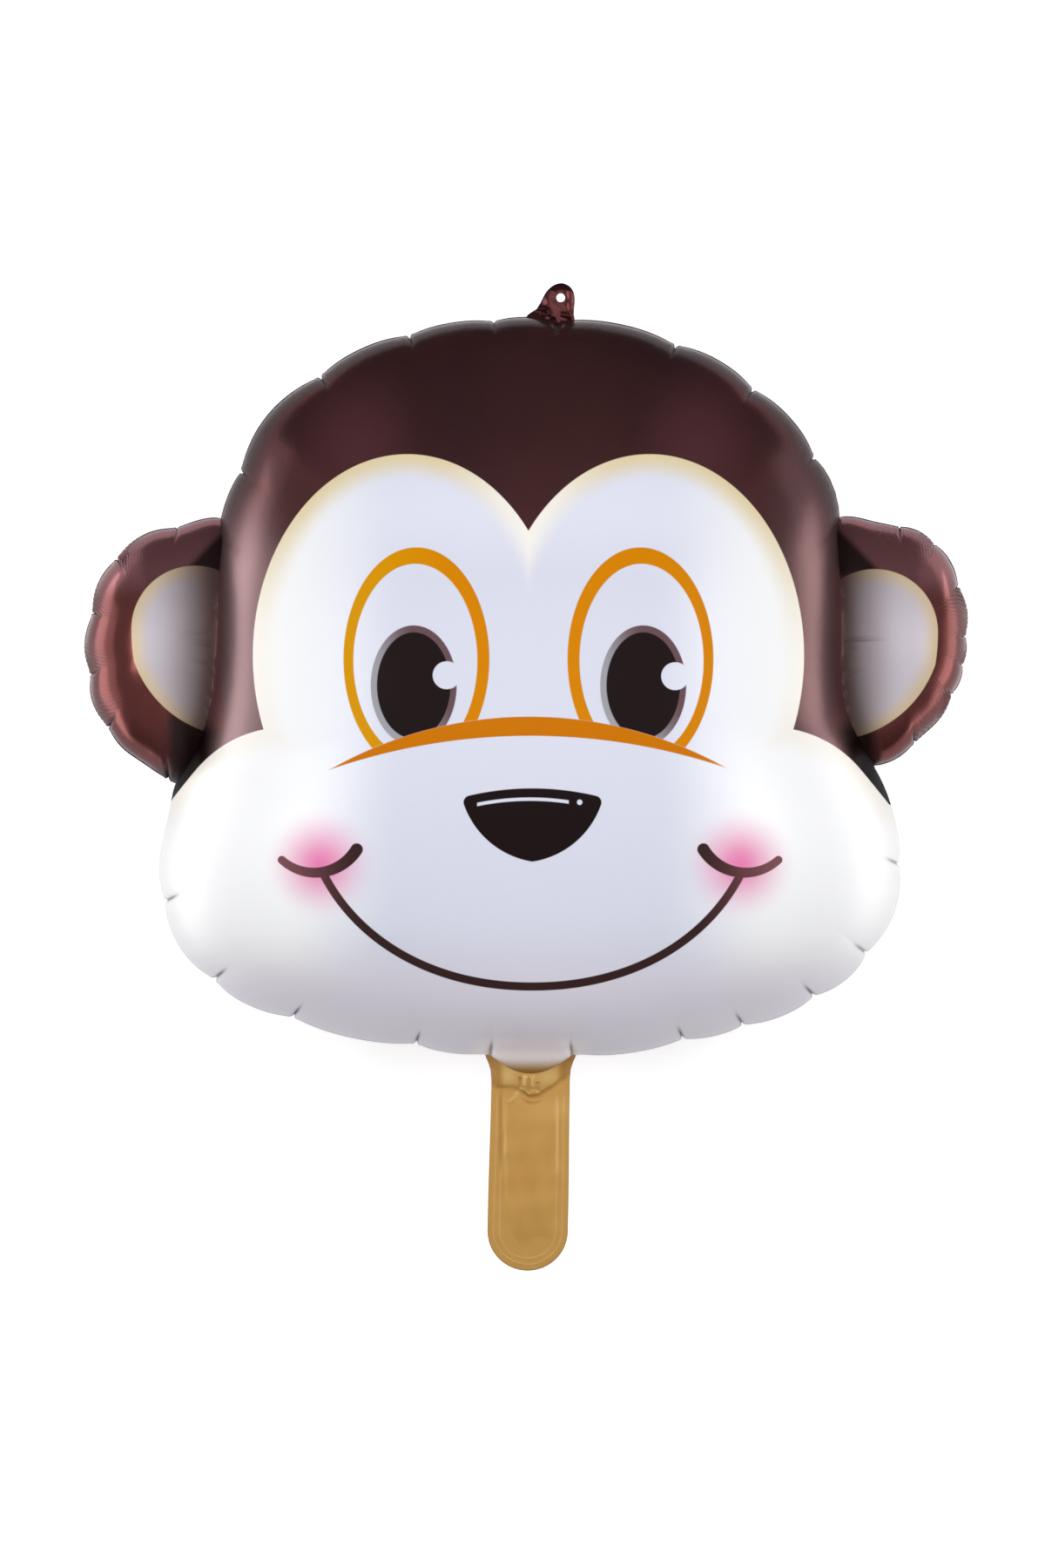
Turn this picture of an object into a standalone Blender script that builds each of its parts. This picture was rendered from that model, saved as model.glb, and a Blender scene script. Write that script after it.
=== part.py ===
"""An inflated foil balloon in the shape of a monkey's head, lying on its back.

The envelope is two sheets of film, welded edge to edge: a head and two ears that share
one seam, a hanging tab at the crown and a flat inflation tail at the chin. It is sealed
and modelled as one solid. Metres; +X runs across the face, +Y from the chin to the crown
and +Z out of the face. The origin is the middle of the flattened spot on the back.
"""

import math

import bmesh
import bpy
import numpy as np

# Head, measured along the seam when inflated
HEAD_WIDTH = 0.510
HEAD_HEIGHT = 0.506
HEAD_THICKNESS = 0.272
REST_SPOT = 0.130  # width of the flattened spot on the back

# Ears
EAR_MIDDLE = (0.2521, 0.044)  # to the side of and above the head's centre
EAR_THICKNESS = 0.104

# Inflation tail
TAIL_WIDTH = 0.056
TAIL_LENGTH = 0.144  # below the chin
TAIL_CORNER = 0.023
NECK_WIDTH = 0.046  # the mouth of the tail, where the inflated film bulges into it
NECK_DROP = 0.011
NECK_THICKNESS = 0.044
GATHER_DROP = 0.026  # how far below the chin the film is still gathered
GATHER_THICKNESS = 0.012

# Hanging tab
TAB_WIDTH = 0.020
TAB_HEIGHT = 0.022  # above the crown
TAB_OFFSET = 0.0195  # to the side of the middle
TAB_FLARE = 0.022  # how far its left flank spreads at the root
TAB_HOLE = 0.0066

# Both sheets and the weld between them, thickened from the real 0.1 mm
WEB = 0.0012
ROOT_OVERLAP = 0.016  # how far the tab and the tail run into the inflated head

# Puckers along the seam
SCALLOP_DEPTH = 0.0045  # how far the film is drawn in at a pucker from the bow between two
NOTCH_DEPTH = 0.0035
NOTCH_WIDTH = 0.0050
HEAD_PUCKER_RUN = 0.045  # how far a pucker runs up the film from the seam
EAR_PUCKER_RUN = 0.026

# The head's outline on each side, as (share of half its width, share of its height)
HEAD_LEFT = (
    (0.0, 0.525),
    (0.326, 0.505),
    (0.558, 0.453),
    (0.721, 0.382),
    (0.802, 0.302),
    (0.842, 0.228),
    (0.853, 0.129),
    (0.851, 0.047),
    (0.870, -0.018),
    (0.912, -0.076),
    (0.967, -0.135),
    (1.000, -0.222),
    (0.965, -0.304),
    (0.851, -0.375),
    (0.663, -0.4215),
    (0.349, -0.458),
    (0.0, -0.4755),
)
HEAD_RIGHT = (
    (0.324, 0.5022),
    (0.552, 0.448),
    (0.7095, 0.376),
    (0.800, 0.3015),
    (0.838, 0.228),
    (0.850, 0.129),
    (0.845, 0.047),
    (0.858, -0.018),
    (0.900, -0.076),
    (0.962, -0.135),
    (0.9925, -0.220),
    (0.9525, -0.300),
    (0.838, -0.3695),
    (0.660, -0.4195),
    (0.350, -0.4595),
)
# Each ear's outline, as (degrees round its middle from the side, distance in metres)
LEFT_EAR_OUTLINE = (
    (-98, 0.0925),
    (-84, 0.0868),
    (-70, 0.0780),
    (-54, 0.0688),
    (-40, 0.0625),
    (-26, 0.0558),
    (-10, 0.0534),
    (6, 0.0522),
    (22, 0.0528),
    (38, 0.0573),
    (54, 0.0628),
    (70, 0.0692),
    (86, 0.0755),
    (102, 0.0826),
    (117, 0.0950),
    (141, 0.0880),
    (173, 0.0730),
    (209, 0.0760),
    (238, 0.0885),
    (252, 0.0965),
)
RIGHT_EAR_OUTLINE = (
    (-100, 0.0865),
    (-90, 0.0785),
    (-78, 0.0668),
    (-64, 0.0588),
    (-50, 0.0523),
    (-36, 0.0483),
    (-20, 0.0458),
    (-4, 0.0447),
    (12, 0.0458),
    (28, 0.0497),
    (44, 0.0550),
    (60, 0.0642),
    (76, 0.0736),
    (90, 0.0792),
    (104, 0.0850),
    (118, 0.0970),
    (141, 0.0880),
    (173, 0.0730),
    (209, 0.0760),
    (232, 0.0860),
    (247, 0.0910),
)

# Where the seam is gathered, in degrees round each lobe from +X, and the bow of the film
# after each pucker, as a share of SCALLOP_DEPTH
HEAD_PUCKERS = (
    (29.0, 1.0),
    (41.3, 1.0),
    (55.0, 1.0),
    (68.2, 1.0),
    (86.2, 0.7),
    (95.7, 0.7),
    (108.4, 1.0),
    (122.8, 1.0),
    (141.2, 0.8),
    (152.5, 1.0),
    (191.0, 0.9),
    (208.1, 1.0),
    (220.7, 1.0),
    (232.4, 1.2),
    (251.0, 1.0),
    (263.2, 1.0),
    (276.5, 1.2),
    (294.4, 0.8),
    (303.5, 1.0),
    (314.2, 1.0),
    (323.5, 0.8),
    (336.6, 0.8),
    (349.5, 1.0),
)
EAR_PUCKERS = (
    (-92.0, 1.0),
    (-55.0, 1.0),
    (-25.0, 1.0),
    (4.0, 1.0),
    (32.0, 1.0),
    (60.0, 1.0),
    (97.0, 0.6),
    (118.0, 1.0),
    (180.0, 1.0),
    (245.0, 0.6),
)

# Section of an inflated film, as a superellipse
PLAN_EXPONENT = 2.5
EAR_PLAN_EXPONENT = 2.0
RISE_EXPONENT = 2.0
ROUNDING = 0.55  # how far the outline has eased to a circle by the top of the pillow

# Facets
HEAD_STEPS = 7  # to a scallop
HEAD_RINGS = 10
EAR_STEPS = 6
EAR_RINGS = 6
CROWD_TO_PUCKER = 0.11  # draws a scallop's points towards its two puckers
CROWD_TO_SEAM = 1.25
SAME_PLANE = 0.00001


def clear_scene():
    for obj in list(bpy.data.objects):
        bpy.data.objects.remove(obj, do_unlink=True)


def new_collection(name):
    collection = bpy.data.collections.new(name)
    bpy.context.scene.collection.children.link(collection)
    return collection


def foil_material():
    material = bpy.data.materials.new("printed_foil")
    material.use_nodes = True
    shader = material.node_tree.nodes["Principled BSDF"]
    shader.inputs["Base Color"].default_value = (0.21, 0.09, 0.08, 1.0)
    shader.inputs["Metallic"].default_value = 0.8
    shader.inputs["Roughness"].default_value = 0.3
    return material


def closed_spline(angles, values):
    """A smooth periodic cubic through (angle, value), as a function of an array of angles."""
    order = np.argsort(angles)
    a = np.asarray(angles, float)[order]
    v = np.asarray(values, float)[order]
    span = np.diff(np.append(a, a[0] + math.tau))
    slope = (np.roll(v, -1) - v) / span
    count = len(a)
    system = np.zeros((count, count))
    for i in range(count):
        system[i, i - 1] += span[i - 1]
        system[i, i] += 2 * (span[i - 1] + span[i])
        system[i, (i + 1) % count] += span[i]
    bend = np.linalg.solve(system, 6 * (slope - np.roll(slope, 1)))

    def at(angle):
        turned = (np.asarray(angle, float) - a[0]) % math.tau + a[0]
        i = np.searchsorted(a, turned, side="right") - 1
        j = (i + 1) % count
        h, u = span[i], turned - a[i]
        rise = slope[i] - h * (2 * bend[i] + bend[j]) / 6
        return v[i] + u * (rise + u * (bend[i] / 2 + u * (bend[j] - bend[i]) / (6 * h)))

    return at


class Lobe:
    """One inflated part of the envelope: its seam, its puckers and its section."""

    def __init__(self, centre, outline, thickness, puckers, pucker_run, gathered=1.0, plan=PLAN_EXPONENT):
        self.centre = centre
        self.half = thickness / 2
        self.run = pucker_run
        self.gathered = gathered
        self.plan = plan
        self.crowd = CROWD_TO_SEAM
        x = np.array([p[0] for p in outline])
        y = np.array([p[1] for p in outline])
        self.radius = closed_spline(np.arctan2(y, x) % math.tau, np.hypot(x, y))
        self.round = float(np.mean(self.radius(np.linspace(0, math.tau, 72, endpoint=False))))
        self.angles = [math.radians(p[0]) for p in puckers]
        self.bows = [p[1] for p in puckers]

    def scallop(self, turn):
        """The angle, the bow and the distance to the nearer pucker at a share of a turn."""
        count = len(self.angles)
        i = int(turn * count) % count
        share = turn * count - int(turn * count)
        share -= CROWD_TO_PUCKER * math.sin(math.tau * share)
        start = self.angles[i]
        end = self.angles[(i + 1) % count] + (math.tau if i + 1 == count else 0.0)
        angle = start + (end - start) * share
        arc = (end - start) * float(self.radius(angle))
        return angle, self.bows[i] * (1 - abs(2 * share - 1) ** 2.4), min(share, 1 - share) * arc

    def film_point(self, turn, rise):
        """A point of the film. rise is -1 at the back, 0 on the seam and 1 at the front."""
        angle, bow, near = self.scallop(turn)
        latitude = math.copysign(abs(rise) ** self.crowd, rise) * math.pi / 2
        inward = max(math.cos(latitude), 0.0) ** (2 / self.plan)
        up = math.copysign(abs(math.sin(latitude)) ** (2 / RISE_EXPONENT), latitude)
        seam = float(self.radius(angle))
        radius = seam + ROUNDING * (1 - inward) * (self.round - seam)
        climbed = math.hypot(up * self.half, radius * (1 - inward))
        swell = max(0.0, 1 - climbed / (2.5 * self.run)) ** 2
        notch = max(0.0, 1 - climbed / self.run) ** 1.5 * math.exp(-near / NOTCH_WIDTH)
        out = -self.gathered * (SCALLOP_DEPTH * (1 - bow) * swell + NOTCH_DEPTH * notch)
        reach = radius * inward + out * math.cos(latitude)
        return (
            self.centre[0] + reach * math.cos(angle),
            self.centre[1] + reach * math.sin(angle),
            self.half * up + out * math.sin(latitude),
        )


def pillow(name, lobe, steps, rings, collection):
    """A sphere whose equator is drawn out to the lobe's seam."""
    mesh = bpy.data.meshes.new(name)
    bm = bmesh.new()
    around = len(lobe.angles) * steps
    bmesh.ops.create_uvsphere(bm, u_segments=around, v_segments=2 * rings, radius=1.0)
    for vert in bm.verts:
        turn = round(math.atan2(vert.co.y, vert.co.x) / math.tau * around) % around / around
        rise = math.asin(max(-1.0, min(1.0, vert.co.z))) / (math.pi / 2)
        vert.co = lobe.film_point(turn, rise)
    bm.to_mesh(mesh)
    bm.free()
    obj = bpy.data.objects.new(name, mesh)
    collection.objects.link(obj)
    return obj


def spot_latitude():
    """Where on the head's section the flattened spot ends. The last ring of points lies there."""
    return math.acos((REST_SPOT / HEAD_WIDTH) ** (PLAN_EXPONENT / 2))


def head_lobe():
    left = [(-x * HEAD_WIDTH / 2, y * HEAD_HEIGHT) for x, y in HEAD_LEFT]
    right = [(x * HEAD_WIDTH / 2, y * HEAD_HEIGHT) for x, y in HEAD_RIGHT]
    lobe = Lobe((0.0, 0.0), left + right, HEAD_THICKNESS, HEAD_PUCKERS, HEAD_PUCKER_RUN)
    lobe.crowd = math.log(spot_latitude() / (math.pi / 2)) / math.log(1 - 1 / HEAD_RINGS)
    return lobe


def ear_lobe(outline):
    places = [(r * math.cos(math.radians(a)), r * math.sin(math.radians(a))) for a, r in outline]
    return Lobe(EAR_MIDDLE, places, EAR_THICKNESS, EAR_PUCKERS, EAR_PUCKER_RUN, plan=EAR_PLAN_EXPONENT)


def mirror(obj):
    """Turns a solid over to the other side of the face."""
    bm = bmesh.new()
    bm.from_mesh(obj.data)
    for vert in bm.verts:
        vert.co.x = -vert.co.x
    bmesh.ops.reverse_faces(bm, faces=bm.faces)
    bm.to_mesh(obj.data)
    bm.free()


def flatten_back(obj, head):
    """Presses the back of the head flat where it lies, and returns the height of that plane."""
    plane = -head.half * math.sin(spot_latitude()) ** (2 / RISE_EXPONENT)
    bm = bmesh.new()
    bm.from_mesh(obj.data)
    pressed = {vert for vert in bm.verts if vert.co.z < plane + SAME_PLANE}
    for vert in pressed:
        vert.co.z = plane
    flat = [face for face in bm.faces if pressed.issuperset(face.verts)]
    bmesh.ops.dissolve_faces(bm, faces=flat, use_verts=True)
    bm.to_mesh(obj.data)
    bm.free()
    return plane


def arc(centre, radius, start, end, steps):
    """Points along an arc, angles in degrees."""
    turn = [math.radians(start + (end - start) * i / steps) for i in range(steps + 1)]
    return [(centre[0] + radius * math.cos(a), centre[1] + radius * math.sin(a)) for a in turn]


def flat_web(name, outlines, collection):
    """A web of welded film in the seam's plane. The first outline is its edge, any more are holes."""
    curve = bpy.data.curves.new(name, "CURVE")
    curve.dimensions = "2D"
    curve.fill_mode = "BOTH"
    curve.extrude = WEB / 2
    for outline in outlines:
        spline = curve.splines.new("POLY")
        spline.points.add(len(outline) - 1)
        for point, (x, y) in zip(spline.points, outline):
            point.co = (x, y, 0.0, 1.0)
        spline.use_cyclic_u = True
    drawn = bpy.data.objects.new(name, curve)
    collection.objects.link(drawn)
    bpy.context.view_layer.update()
    graph = bpy.context.evaluated_depsgraph_get()
    mesh = bpy.data.meshes.new_from_object(drawn.evaluated_get(graph))
    bm = bmesh.new()
    bm.from_mesh(mesh)
    bmesh.ops.remove_doubles(bm, verts=bm.verts, dist=0.00001)
    bmesh.ops.recalc_face_normals(bm, faces=bm.faces)
    bm.to_mesh(mesh)
    bm.free()
    solid = bpy.data.objects.new(name + "_solid", mesh)
    solid.matrix_world = drawn.matrix_world
    bpy.data.objects.remove(drawn, do_unlink=True)
    collection.objects.link(solid)
    return solid


def tail_outline(chin):
    """The tail from its root inside the head to its rounded end."""
    side = TAIL_WIDTH / 2
    end = chin - TAIL_LENGTH
    root = chin + ROOT_OVERLAP
    shoulder = end + TAIL_CORNER
    inset = side - TAIL_CORNER
    return [
        (-side, root),
        *arc((-inset, shoulder), TAIL_CORNER, 180, 270, 8),
        *arc((inset, shoulder), TAIL_CORNER, 270, 360, 8),
        (side, root),
    ]


def tab_outlines(head):
    """The tab with its round top, its flared left flank and its punched hole."""
    radius = TAB_WIDTH / 2
    crown = float(head.radius(math.pi / 2))
    eye = (TAB_OFFSET, crown + TAB_HEIGHT - radius)
    root = crown - ROOT_OVERLAP
    left = TAB_OFFSET - radius
    edge = [
        (TAB_OFFSET + radius, root),
        *arc(eye, radius, 0, 155, 10),
        (left - TAB_FLARE * 0.30, crown + TAB_HEIGHT * 0.28),
        (left - TAB_FLARE * 0.62, crown + TAB_HEIGHT * 0.08),
        (left - TAB_FLARE, crown - TAB_HEIGHT * 0.08),
        (left - TAB_FLARE, root),
    ]
    hole = arc(eye, TAB_HOLE / 2, 0, -337.5, 15)
    return [edge, hole], eye


def ellipse(width, height, count=12):
    turn = [math.tau * i / count for i in range(count)]
    return [(width / 2 * math.cos(a), height / 2 * math.sin(a)) for a in turn]


def plain_pillow(name, centre, width, height, thickness, collection):
    """A small pillow with no puckers of its own."""
    quarters = tuple((angle, 1.0) for angle in (0.0, 90.0, 180.0, 270.0))
    lobe = Lobe(centre, ellipse(width, height), thickness, quarters, EAR_PUCKER_RUN, gathered=0.0)
    return pillow(name, lobe, EAR_STEPS, 5, collection)


def join(target, others):
    """Unites solids into the target, one Boolean at a time, and removes the joined ones."""
    for other in others:
        modifier = target.modifiers.new("join_" + other.name, "BOOLEAN")
        modifier.operation = "UNION"
        modifier.solver = "EXACT"
        modifier.object = other
        bpy.context.view_layer.update()
        graph = bpy.context.evaluated_depsgraph_get()
        united = bpy.data.meshes.new_from_object(target.evaluated_get(graph))
        target.modifiers.clear()
        target.data = united
        bpy.data.objects.remove(other, do_unlink=True)


def main():
    clear_scene()
    balloon = new_collection("monkey_head_foil_balloon")
    head = head_lobe()
    body = pillow("foil_envelope", head, HEAD_STEPS, HEAD_RINGS, balloon)
    plane = flatten_back(body, head)

    right_ear = pillow("ear_right", ear_lobe(RIGHT_EAR_OUTLINE), EAR_STEPS, EAR_RINGS, balloon)
    left_ear = pillow("ear_left", ear_lobe(LEFT_EAR_OUTLINE), EAR_STEPS, EAR_RINGS, balloon)
    mirror(left_ear)

    chin = -float(head.radius(-math.pi / 2))
    neck = plain_pillow(
        "neck",
        (0.0, chin + NECK_WIDTH / 2 - NECK_DROP),
        NECK_WIDTH,
        NECK_WIDTH,
        NECK_THICKNESS,
        balloon,
    )
    gather = plain_pillow(
        "gather",
        (0.0, chin),
        TAIL_WIDTH,
        2 * GATHER_DROP,
        GATHER_THICKNESS,
        balloon,
    )
    tail = flat_web("tail", [tail_outline(chin)], balloon)
    tab_shape, _ = tab_outlines(head)
    tab = flat_web("tab", tab_shape, balloon)
    join(body, [right_ear, left_ear, neck, gather, tail, tab])

    body.data.materials.clear()
    body.data.materials.append(foil_material())
    body.location.z = -plane
    body.data.shade_smooth()
    body.data.set_sharp_from_angle(angle=math.radians(35))


main()
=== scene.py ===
"""A studio picture of an inflated foil balloon, a monkey's head that lies on its back.

The frame's one solid is replaced by fine meshes: the two welded films with their puckers,
the weld round them, the hanging tab and the inflation tail. The printed face and the foil
are procedural. Metres; +X runs across the face, +Y to the crown and +Z out of the face.
"""

import math
from functools import partialmethod

import bmesh
import bpy
import numpy as np
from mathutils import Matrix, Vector
from mathutils.bvhtree import BVHTree


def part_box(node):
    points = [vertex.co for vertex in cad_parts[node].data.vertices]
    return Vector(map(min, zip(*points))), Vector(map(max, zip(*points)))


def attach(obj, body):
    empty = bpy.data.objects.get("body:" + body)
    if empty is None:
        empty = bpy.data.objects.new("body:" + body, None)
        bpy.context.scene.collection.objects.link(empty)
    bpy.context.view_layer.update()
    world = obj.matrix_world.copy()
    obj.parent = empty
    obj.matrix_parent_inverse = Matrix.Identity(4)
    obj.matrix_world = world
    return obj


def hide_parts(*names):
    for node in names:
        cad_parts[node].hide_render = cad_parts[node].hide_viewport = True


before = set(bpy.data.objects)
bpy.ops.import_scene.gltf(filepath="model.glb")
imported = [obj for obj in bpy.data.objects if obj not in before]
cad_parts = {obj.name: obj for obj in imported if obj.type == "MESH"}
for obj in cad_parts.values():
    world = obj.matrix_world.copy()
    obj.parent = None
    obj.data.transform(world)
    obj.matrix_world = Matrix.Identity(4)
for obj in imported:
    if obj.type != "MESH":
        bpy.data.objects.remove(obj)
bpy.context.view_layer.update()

# The envelope's own sizes, as the solid has them
HEAD_WIDTH = 0.510
HEAD_HEIGHT = 0.506
HEAD_THICKNESS = 0.272
EAR_MIDDLE = (0.2521, 0.044)
EAR_THICKNESS = 0.104
NECK_WIDTH = 0.046
NECK_DROP = 0.010
NECK_THICKNESS = 0.040
SEAM_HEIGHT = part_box("foil_envelope")[1][2] - HEAD_THICKNESS / 2

# The head's outline on each side, as (share of half its width, share of its height)
HEAD_LEFT = (
    (0.0, 0.525), (0.326, 0.505), (0.558, 0.453), (0.721, 0.382), (0.802, 0.302),
    (0.848, 0.228), (0.876, 0.129), (0.882, 0.047), (0.894, -0.018), (0.930, -0.072),
    (0.958, -0.100), (0.969, -0.135), (1.000, -0.222), (0.965, -0.304), (0.851, -0.375),
    (0.663, -0.4215), (0.349, -0.458), (0.0, -0.4755),
)
HEAD_RIGHT = (
    (0.324, 0.5022), (0.552, 0.448), (0.7095, 0.376), (0.800, 0.3015), (0.835, 0.228),
    (0.858, 0.129), (0.855, 0.047), (0.868, -0.018), (0.921, -0.076), (0.962, -0.135),
    (0.9925, -0.220), (0.9525, -0.300), (0.838, -0.3695), (0.660, -0.4195),
    (0.350, -0.4595),
)
# Each ear's outline, as (degrees round its middle from the side, distance in metres)
LEFT_EAR_OUTLINE = (
    (-104, 0.1010), (-95, 0.0985), (-84, 0.0866), (-70, 0.0780), (-54, 0.0688),
    (-40, 0.0625), (-26, 0.0558), (-10, 0.0534), (6, 0.0522), (22, 0.0528), (38, 0.0573),
    (54, 0.0628), (70, 0.0692), (86, 0.0755), (102, 0.0826), (117, 0.0950), (141, 0.0880),
    (173, 0.0730), (209, 0.0760), (238, 0.0885), (252, 0.0965),
)
RIGHT_EAR_OUTLINE = (
    (-100, 0.0865), (-90, 0.0785), (-78, 0.0668), (-64, 0.0588), (-50, 0.0523),
    (-36, 0.0483), (-20, 0.0458), (-4, 0.0447), (12, 0.0458), (28, 0.0497), (44, 0.0550),
    (60, 0.0642), (76, 0.0736), (90, 0.0792), (104, 0.0850), (118, 0.0970), (141, 0.0880),
    (173, 0.0730), (209, 0.0760), (232, 0.0860), (247, 0.0910),
)

# Puckers: degrees round the lobe, the bow of the film after each, how deep its notch is,
# and the fine gathers beside it (negative for the clockwise side)
HEAD_PUCKERS = (
    (29.0, 1.0, 0.0, 0.0), (41.3, 1.0, 0.8, 0.0), (55.0, 1.0, 1.0, 0.0),
    (68.2, 1.0, 1.0, 0.0), (86.2, 0.7, 1.6, 0.0), (95.7, 0.7, 0.5, 0.0),
    (108.4, 1.0, 1.0, 0.0), (122.8, 1.0, 1.0, 0.0), (141.2, 0.8, 1.0, 0.0),
    (152.5, 1.0, 0.0, 0.0), (191.0, 0.9, 0.0, 0.0), (208.1, 1.0, 0.9, 0.0),
    (220.7, 1.0, 1.0, 0.0), (232.4, 1.2, 1.0, 0.0), (251.0, 1.0, 1.0, 0.0),
    (263.2, 1.0, 0.8, 0.0), (276.5, 1.2, 0.8, 0.0), (294.4, 0.8, 1.0, 0.0),
    (303.5, 1.0, 0.9, 0.0), (314.2, 1.0, 1.0, 0.0), (323.5, 0.8, 0.8, 0.0),
    (336.6, 0.8, 0.8, 0.0), (349.5, 1.0, 0.0, 0.0),
)
LEFT_EAR_PUCKERS = (
    (-92.9, 1.0, 1.2, 0.0), (-58.5, 1.0, 1.2, 0.6), (-25.6, 1.0, 1.1, 0.8),
    (22.1, 1.0, 1.1, 0.8), (61.6, 1.0, 1.1, 1.0), (98.0, 0.6, 0.6, 0.0),
    (118.0, 1.0, 0.0, 0.0), (180.0, 1.0, 0.0, 0.0), (245.0, 0.6, 0.6, 0.0),
)
RIGHT_EAR_PUCKERS = (
    (-83.4, 1.0, 1.0, 0.4), (-47.7, 1.0, 0.8, -1.0), (-22.0, 0.8, 0.6, 0.7),
    (4.1, 1.0, 1.0, 0.7), (44.6, 1.0, 0.9, -1.0), (72.0, 0.8, 0.5, 0.6),
    (91.5, 0.6, 1.0, 0.3), (118.0, 1.0, 0.0, 0.0), (180.0, 1.0, 0.0, 0.0),
    (250.0, 0.6, 0.6, 0.0),
)
# Short folds that run from the passage to the head out over an ear, as their two ends
LEFT_EAR_FOLDS = (
    ((0.2357, 0.0500), (0.2247, 0.0494)),
    ((0.2333, 0.0452), (0.2170, 0.0400)),
    ((0.2310, 0.0293), (0.2150, 0.0255)),
)
RIGHT_EAR_FOLDS = (
    ((0.2091, 0.0441), (0.2363, 0.0452)),
    ((0.2110, 0.0408), (0.2203, 0.0370)),
    ((0.2095, 0.0224), (0.2221, 0.0204)),
)
FOLD_DEPTH = 0.0009
FOLD_WIDTH = 0.0011
NECK_PUCKERS = tuple((turn, 1.0, 0.0, 0.0) for turn in (0.0, 90.0, 180.0, 270.0))
# How a film is drawn in at its puckers: scallop is how far, at the seam, and fade how far up;
# notch and width are the valley at a pucker, and run is how far up it goes
HEAD_GATHER = {"scallop": 0.0036, "fade": 0.085, "notch": 0.0022, "width": 0.0010, "run": 0.042}
EAR_GATHER = {"scallop": 0.0022, "fade": 0.040, "notch": 0.0022, "width": 0.0007, "run": 0.034}
NECK_GATHER = {"scallop": 0.0, "fade": 0.010, "notch": 0.0, "width": 0.0010, "run": 0.010}
# How much wider a notch gets for each metre up the film, and the ridges on its two sides
NOTCH_SPREAD = 0.030
NOTCH_SHOULDER = (0.22, 2.4)
# The gathers beside a pucker: waves that run out along the seam and up the film
GATHER_DEPTH = 0.00095
GATHER_PITCH = 0.0030
GATHER_SLANT = 2.0
GATHER_LENGTH = 0.019
GATHER_CLIMB = 0.036
# The painted shade in a pucker's fold: how far up the film it runs, and half its width
HEAD_FOLD_SHADE = (0.052, 0.0008)
EAR_FOLD_SHADE = (0.034, 0.0006)
FOLD_SHADE_SPREAD = 0.008
FOLD_SHADE_END = 2.5
# How dark the painted shade between the gathers is, and how far up the film it runs
GATHER_SHADE = 1.4
GATHER_SHADE_CLIMB = 0.05
LOBE_EDGE = 0.002

# How the grid crowds to the seam and to the puckers, and how the film bows between them
RING_CROWDING = (0.35, 0.65, 2.2)
COLUMN_CROWDING = 0.12
BOW_EXPONENT = 2.4
# The pillow's section, as the exponents of its plan and its rise, and how its plan rounds off
PLAN_EXPONENT = 2.5
EAR_PLAN_EXPONENT = 2.0
RISE_EXPONENT = 2.0
ROUNDING = 0.55

# The weld outside the seam
WELD_WIDTH = 0.0007
WELD_THICKNESS = 0.0003
WELD_OVERLAP = 0.0005
WELD_WAVES = ((0.00012, 0.0043, 0.0), (0.00008, 0.0019, 1.3))

# The passage between the head and an ear, where the crease is rounded
PASSAGE_REACH = 0.003
PASSAGE_MIDDLE = 0.035
PASSAGE_HALF = 0.052
PASSAGE_START = 0.19
NECK_REACH = 0.018
NECK_BOX = (0.05, -0.2)

# The grid of each film: columns to a degree round it, and rings from the seam up
HEAD_STEPS = 1.7
EAR_STEPS = 2.7
NECK_STEPS = 0.6
HEAD_FRONT_RINGS = 48
HEAD_BACK_RINGS = 22
EAR_FRONT_RINGS = 28
EAR_BACK_RINGS = 10
NECK_RINGS = 12

FACE, EAR, BACK = 0, 1, 2


def closed_spline(angles, values):
    """A smooth periodic cubic through (angle, value), as a function of an array of angles."""
    order = np.argsort(angles)
    a = np.asarray(angles, float)[order]
    v = np.asarray(values, float)[order]
    span = np.diff(np.append(a, a[0] + math.tau))
    slope = (np.roll(v, -1) - v) / span
    count = len(a)
    system = np.zeros((count, count))
    for i in range(count):
        system[i, i - 1] += span[i - 1]
        system[i, i] += 2 * (span[i - 1] + span[i])
        system[i, (i + 1) % count] += span[i]
    bend = np.linalg.solve(system, 6 * (slope - np.roll(slope, 1)))

    def at(angle):
        turned = (np.asarray(angle, float) - a[0]) % math.tau + a[0]
        i = np.searchsorted(a, turned, side="right") - 1
        j = (i + 1) % count
        h, u = span[i], turned - a[i]
        rise = slope[i] - h * (2 * bend[i] + bend[j]) / 6
        return v[i] + u * (rise + u * (bend[i] / 2 + u * (bend[j] - bend[i]) / (6 * h)))

    return at


def ease(x):
    """0 to 1, flat at both ends."""
    x = np.clip(x, 0, 1)
    return x * x * (3 - 2 * x)


def ramp(value, start, run):
    """0 at the start to 1 after the run, which may be negative, flat at both ends."""
    return ease((value - start) / run)


def bell(distance, width):
    """1 at distance 0, falling off to both sides."""
    return np.exp(-((distance / width) ** 2))


def groove(x, y, start, end, width):
    """1 along a straight line from start to end, falling off to its sides and its ends."""
    start, end = np.array(start), np.array(end)
    run = end - start
    length = float(np.hypot(*run))
    share = ((x - start[0]) * run[0] + (y - start[1]) * run[1]) / length**2
    side = ((x - start[0]) * run[1] - (y - start[1]) * run[0]) / length
    ends = ease(np.clip(1.15 - np.abs(2 * share - 1), 0, 0.5) * 2)
    return bell(side, width) * ends


def grooves(x, y, table):
    """The sum of the table's grooves, each as (strength, start, end, width)."""
    return sum(strength * groove(x, y, *line) for strength, *line in table)


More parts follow.
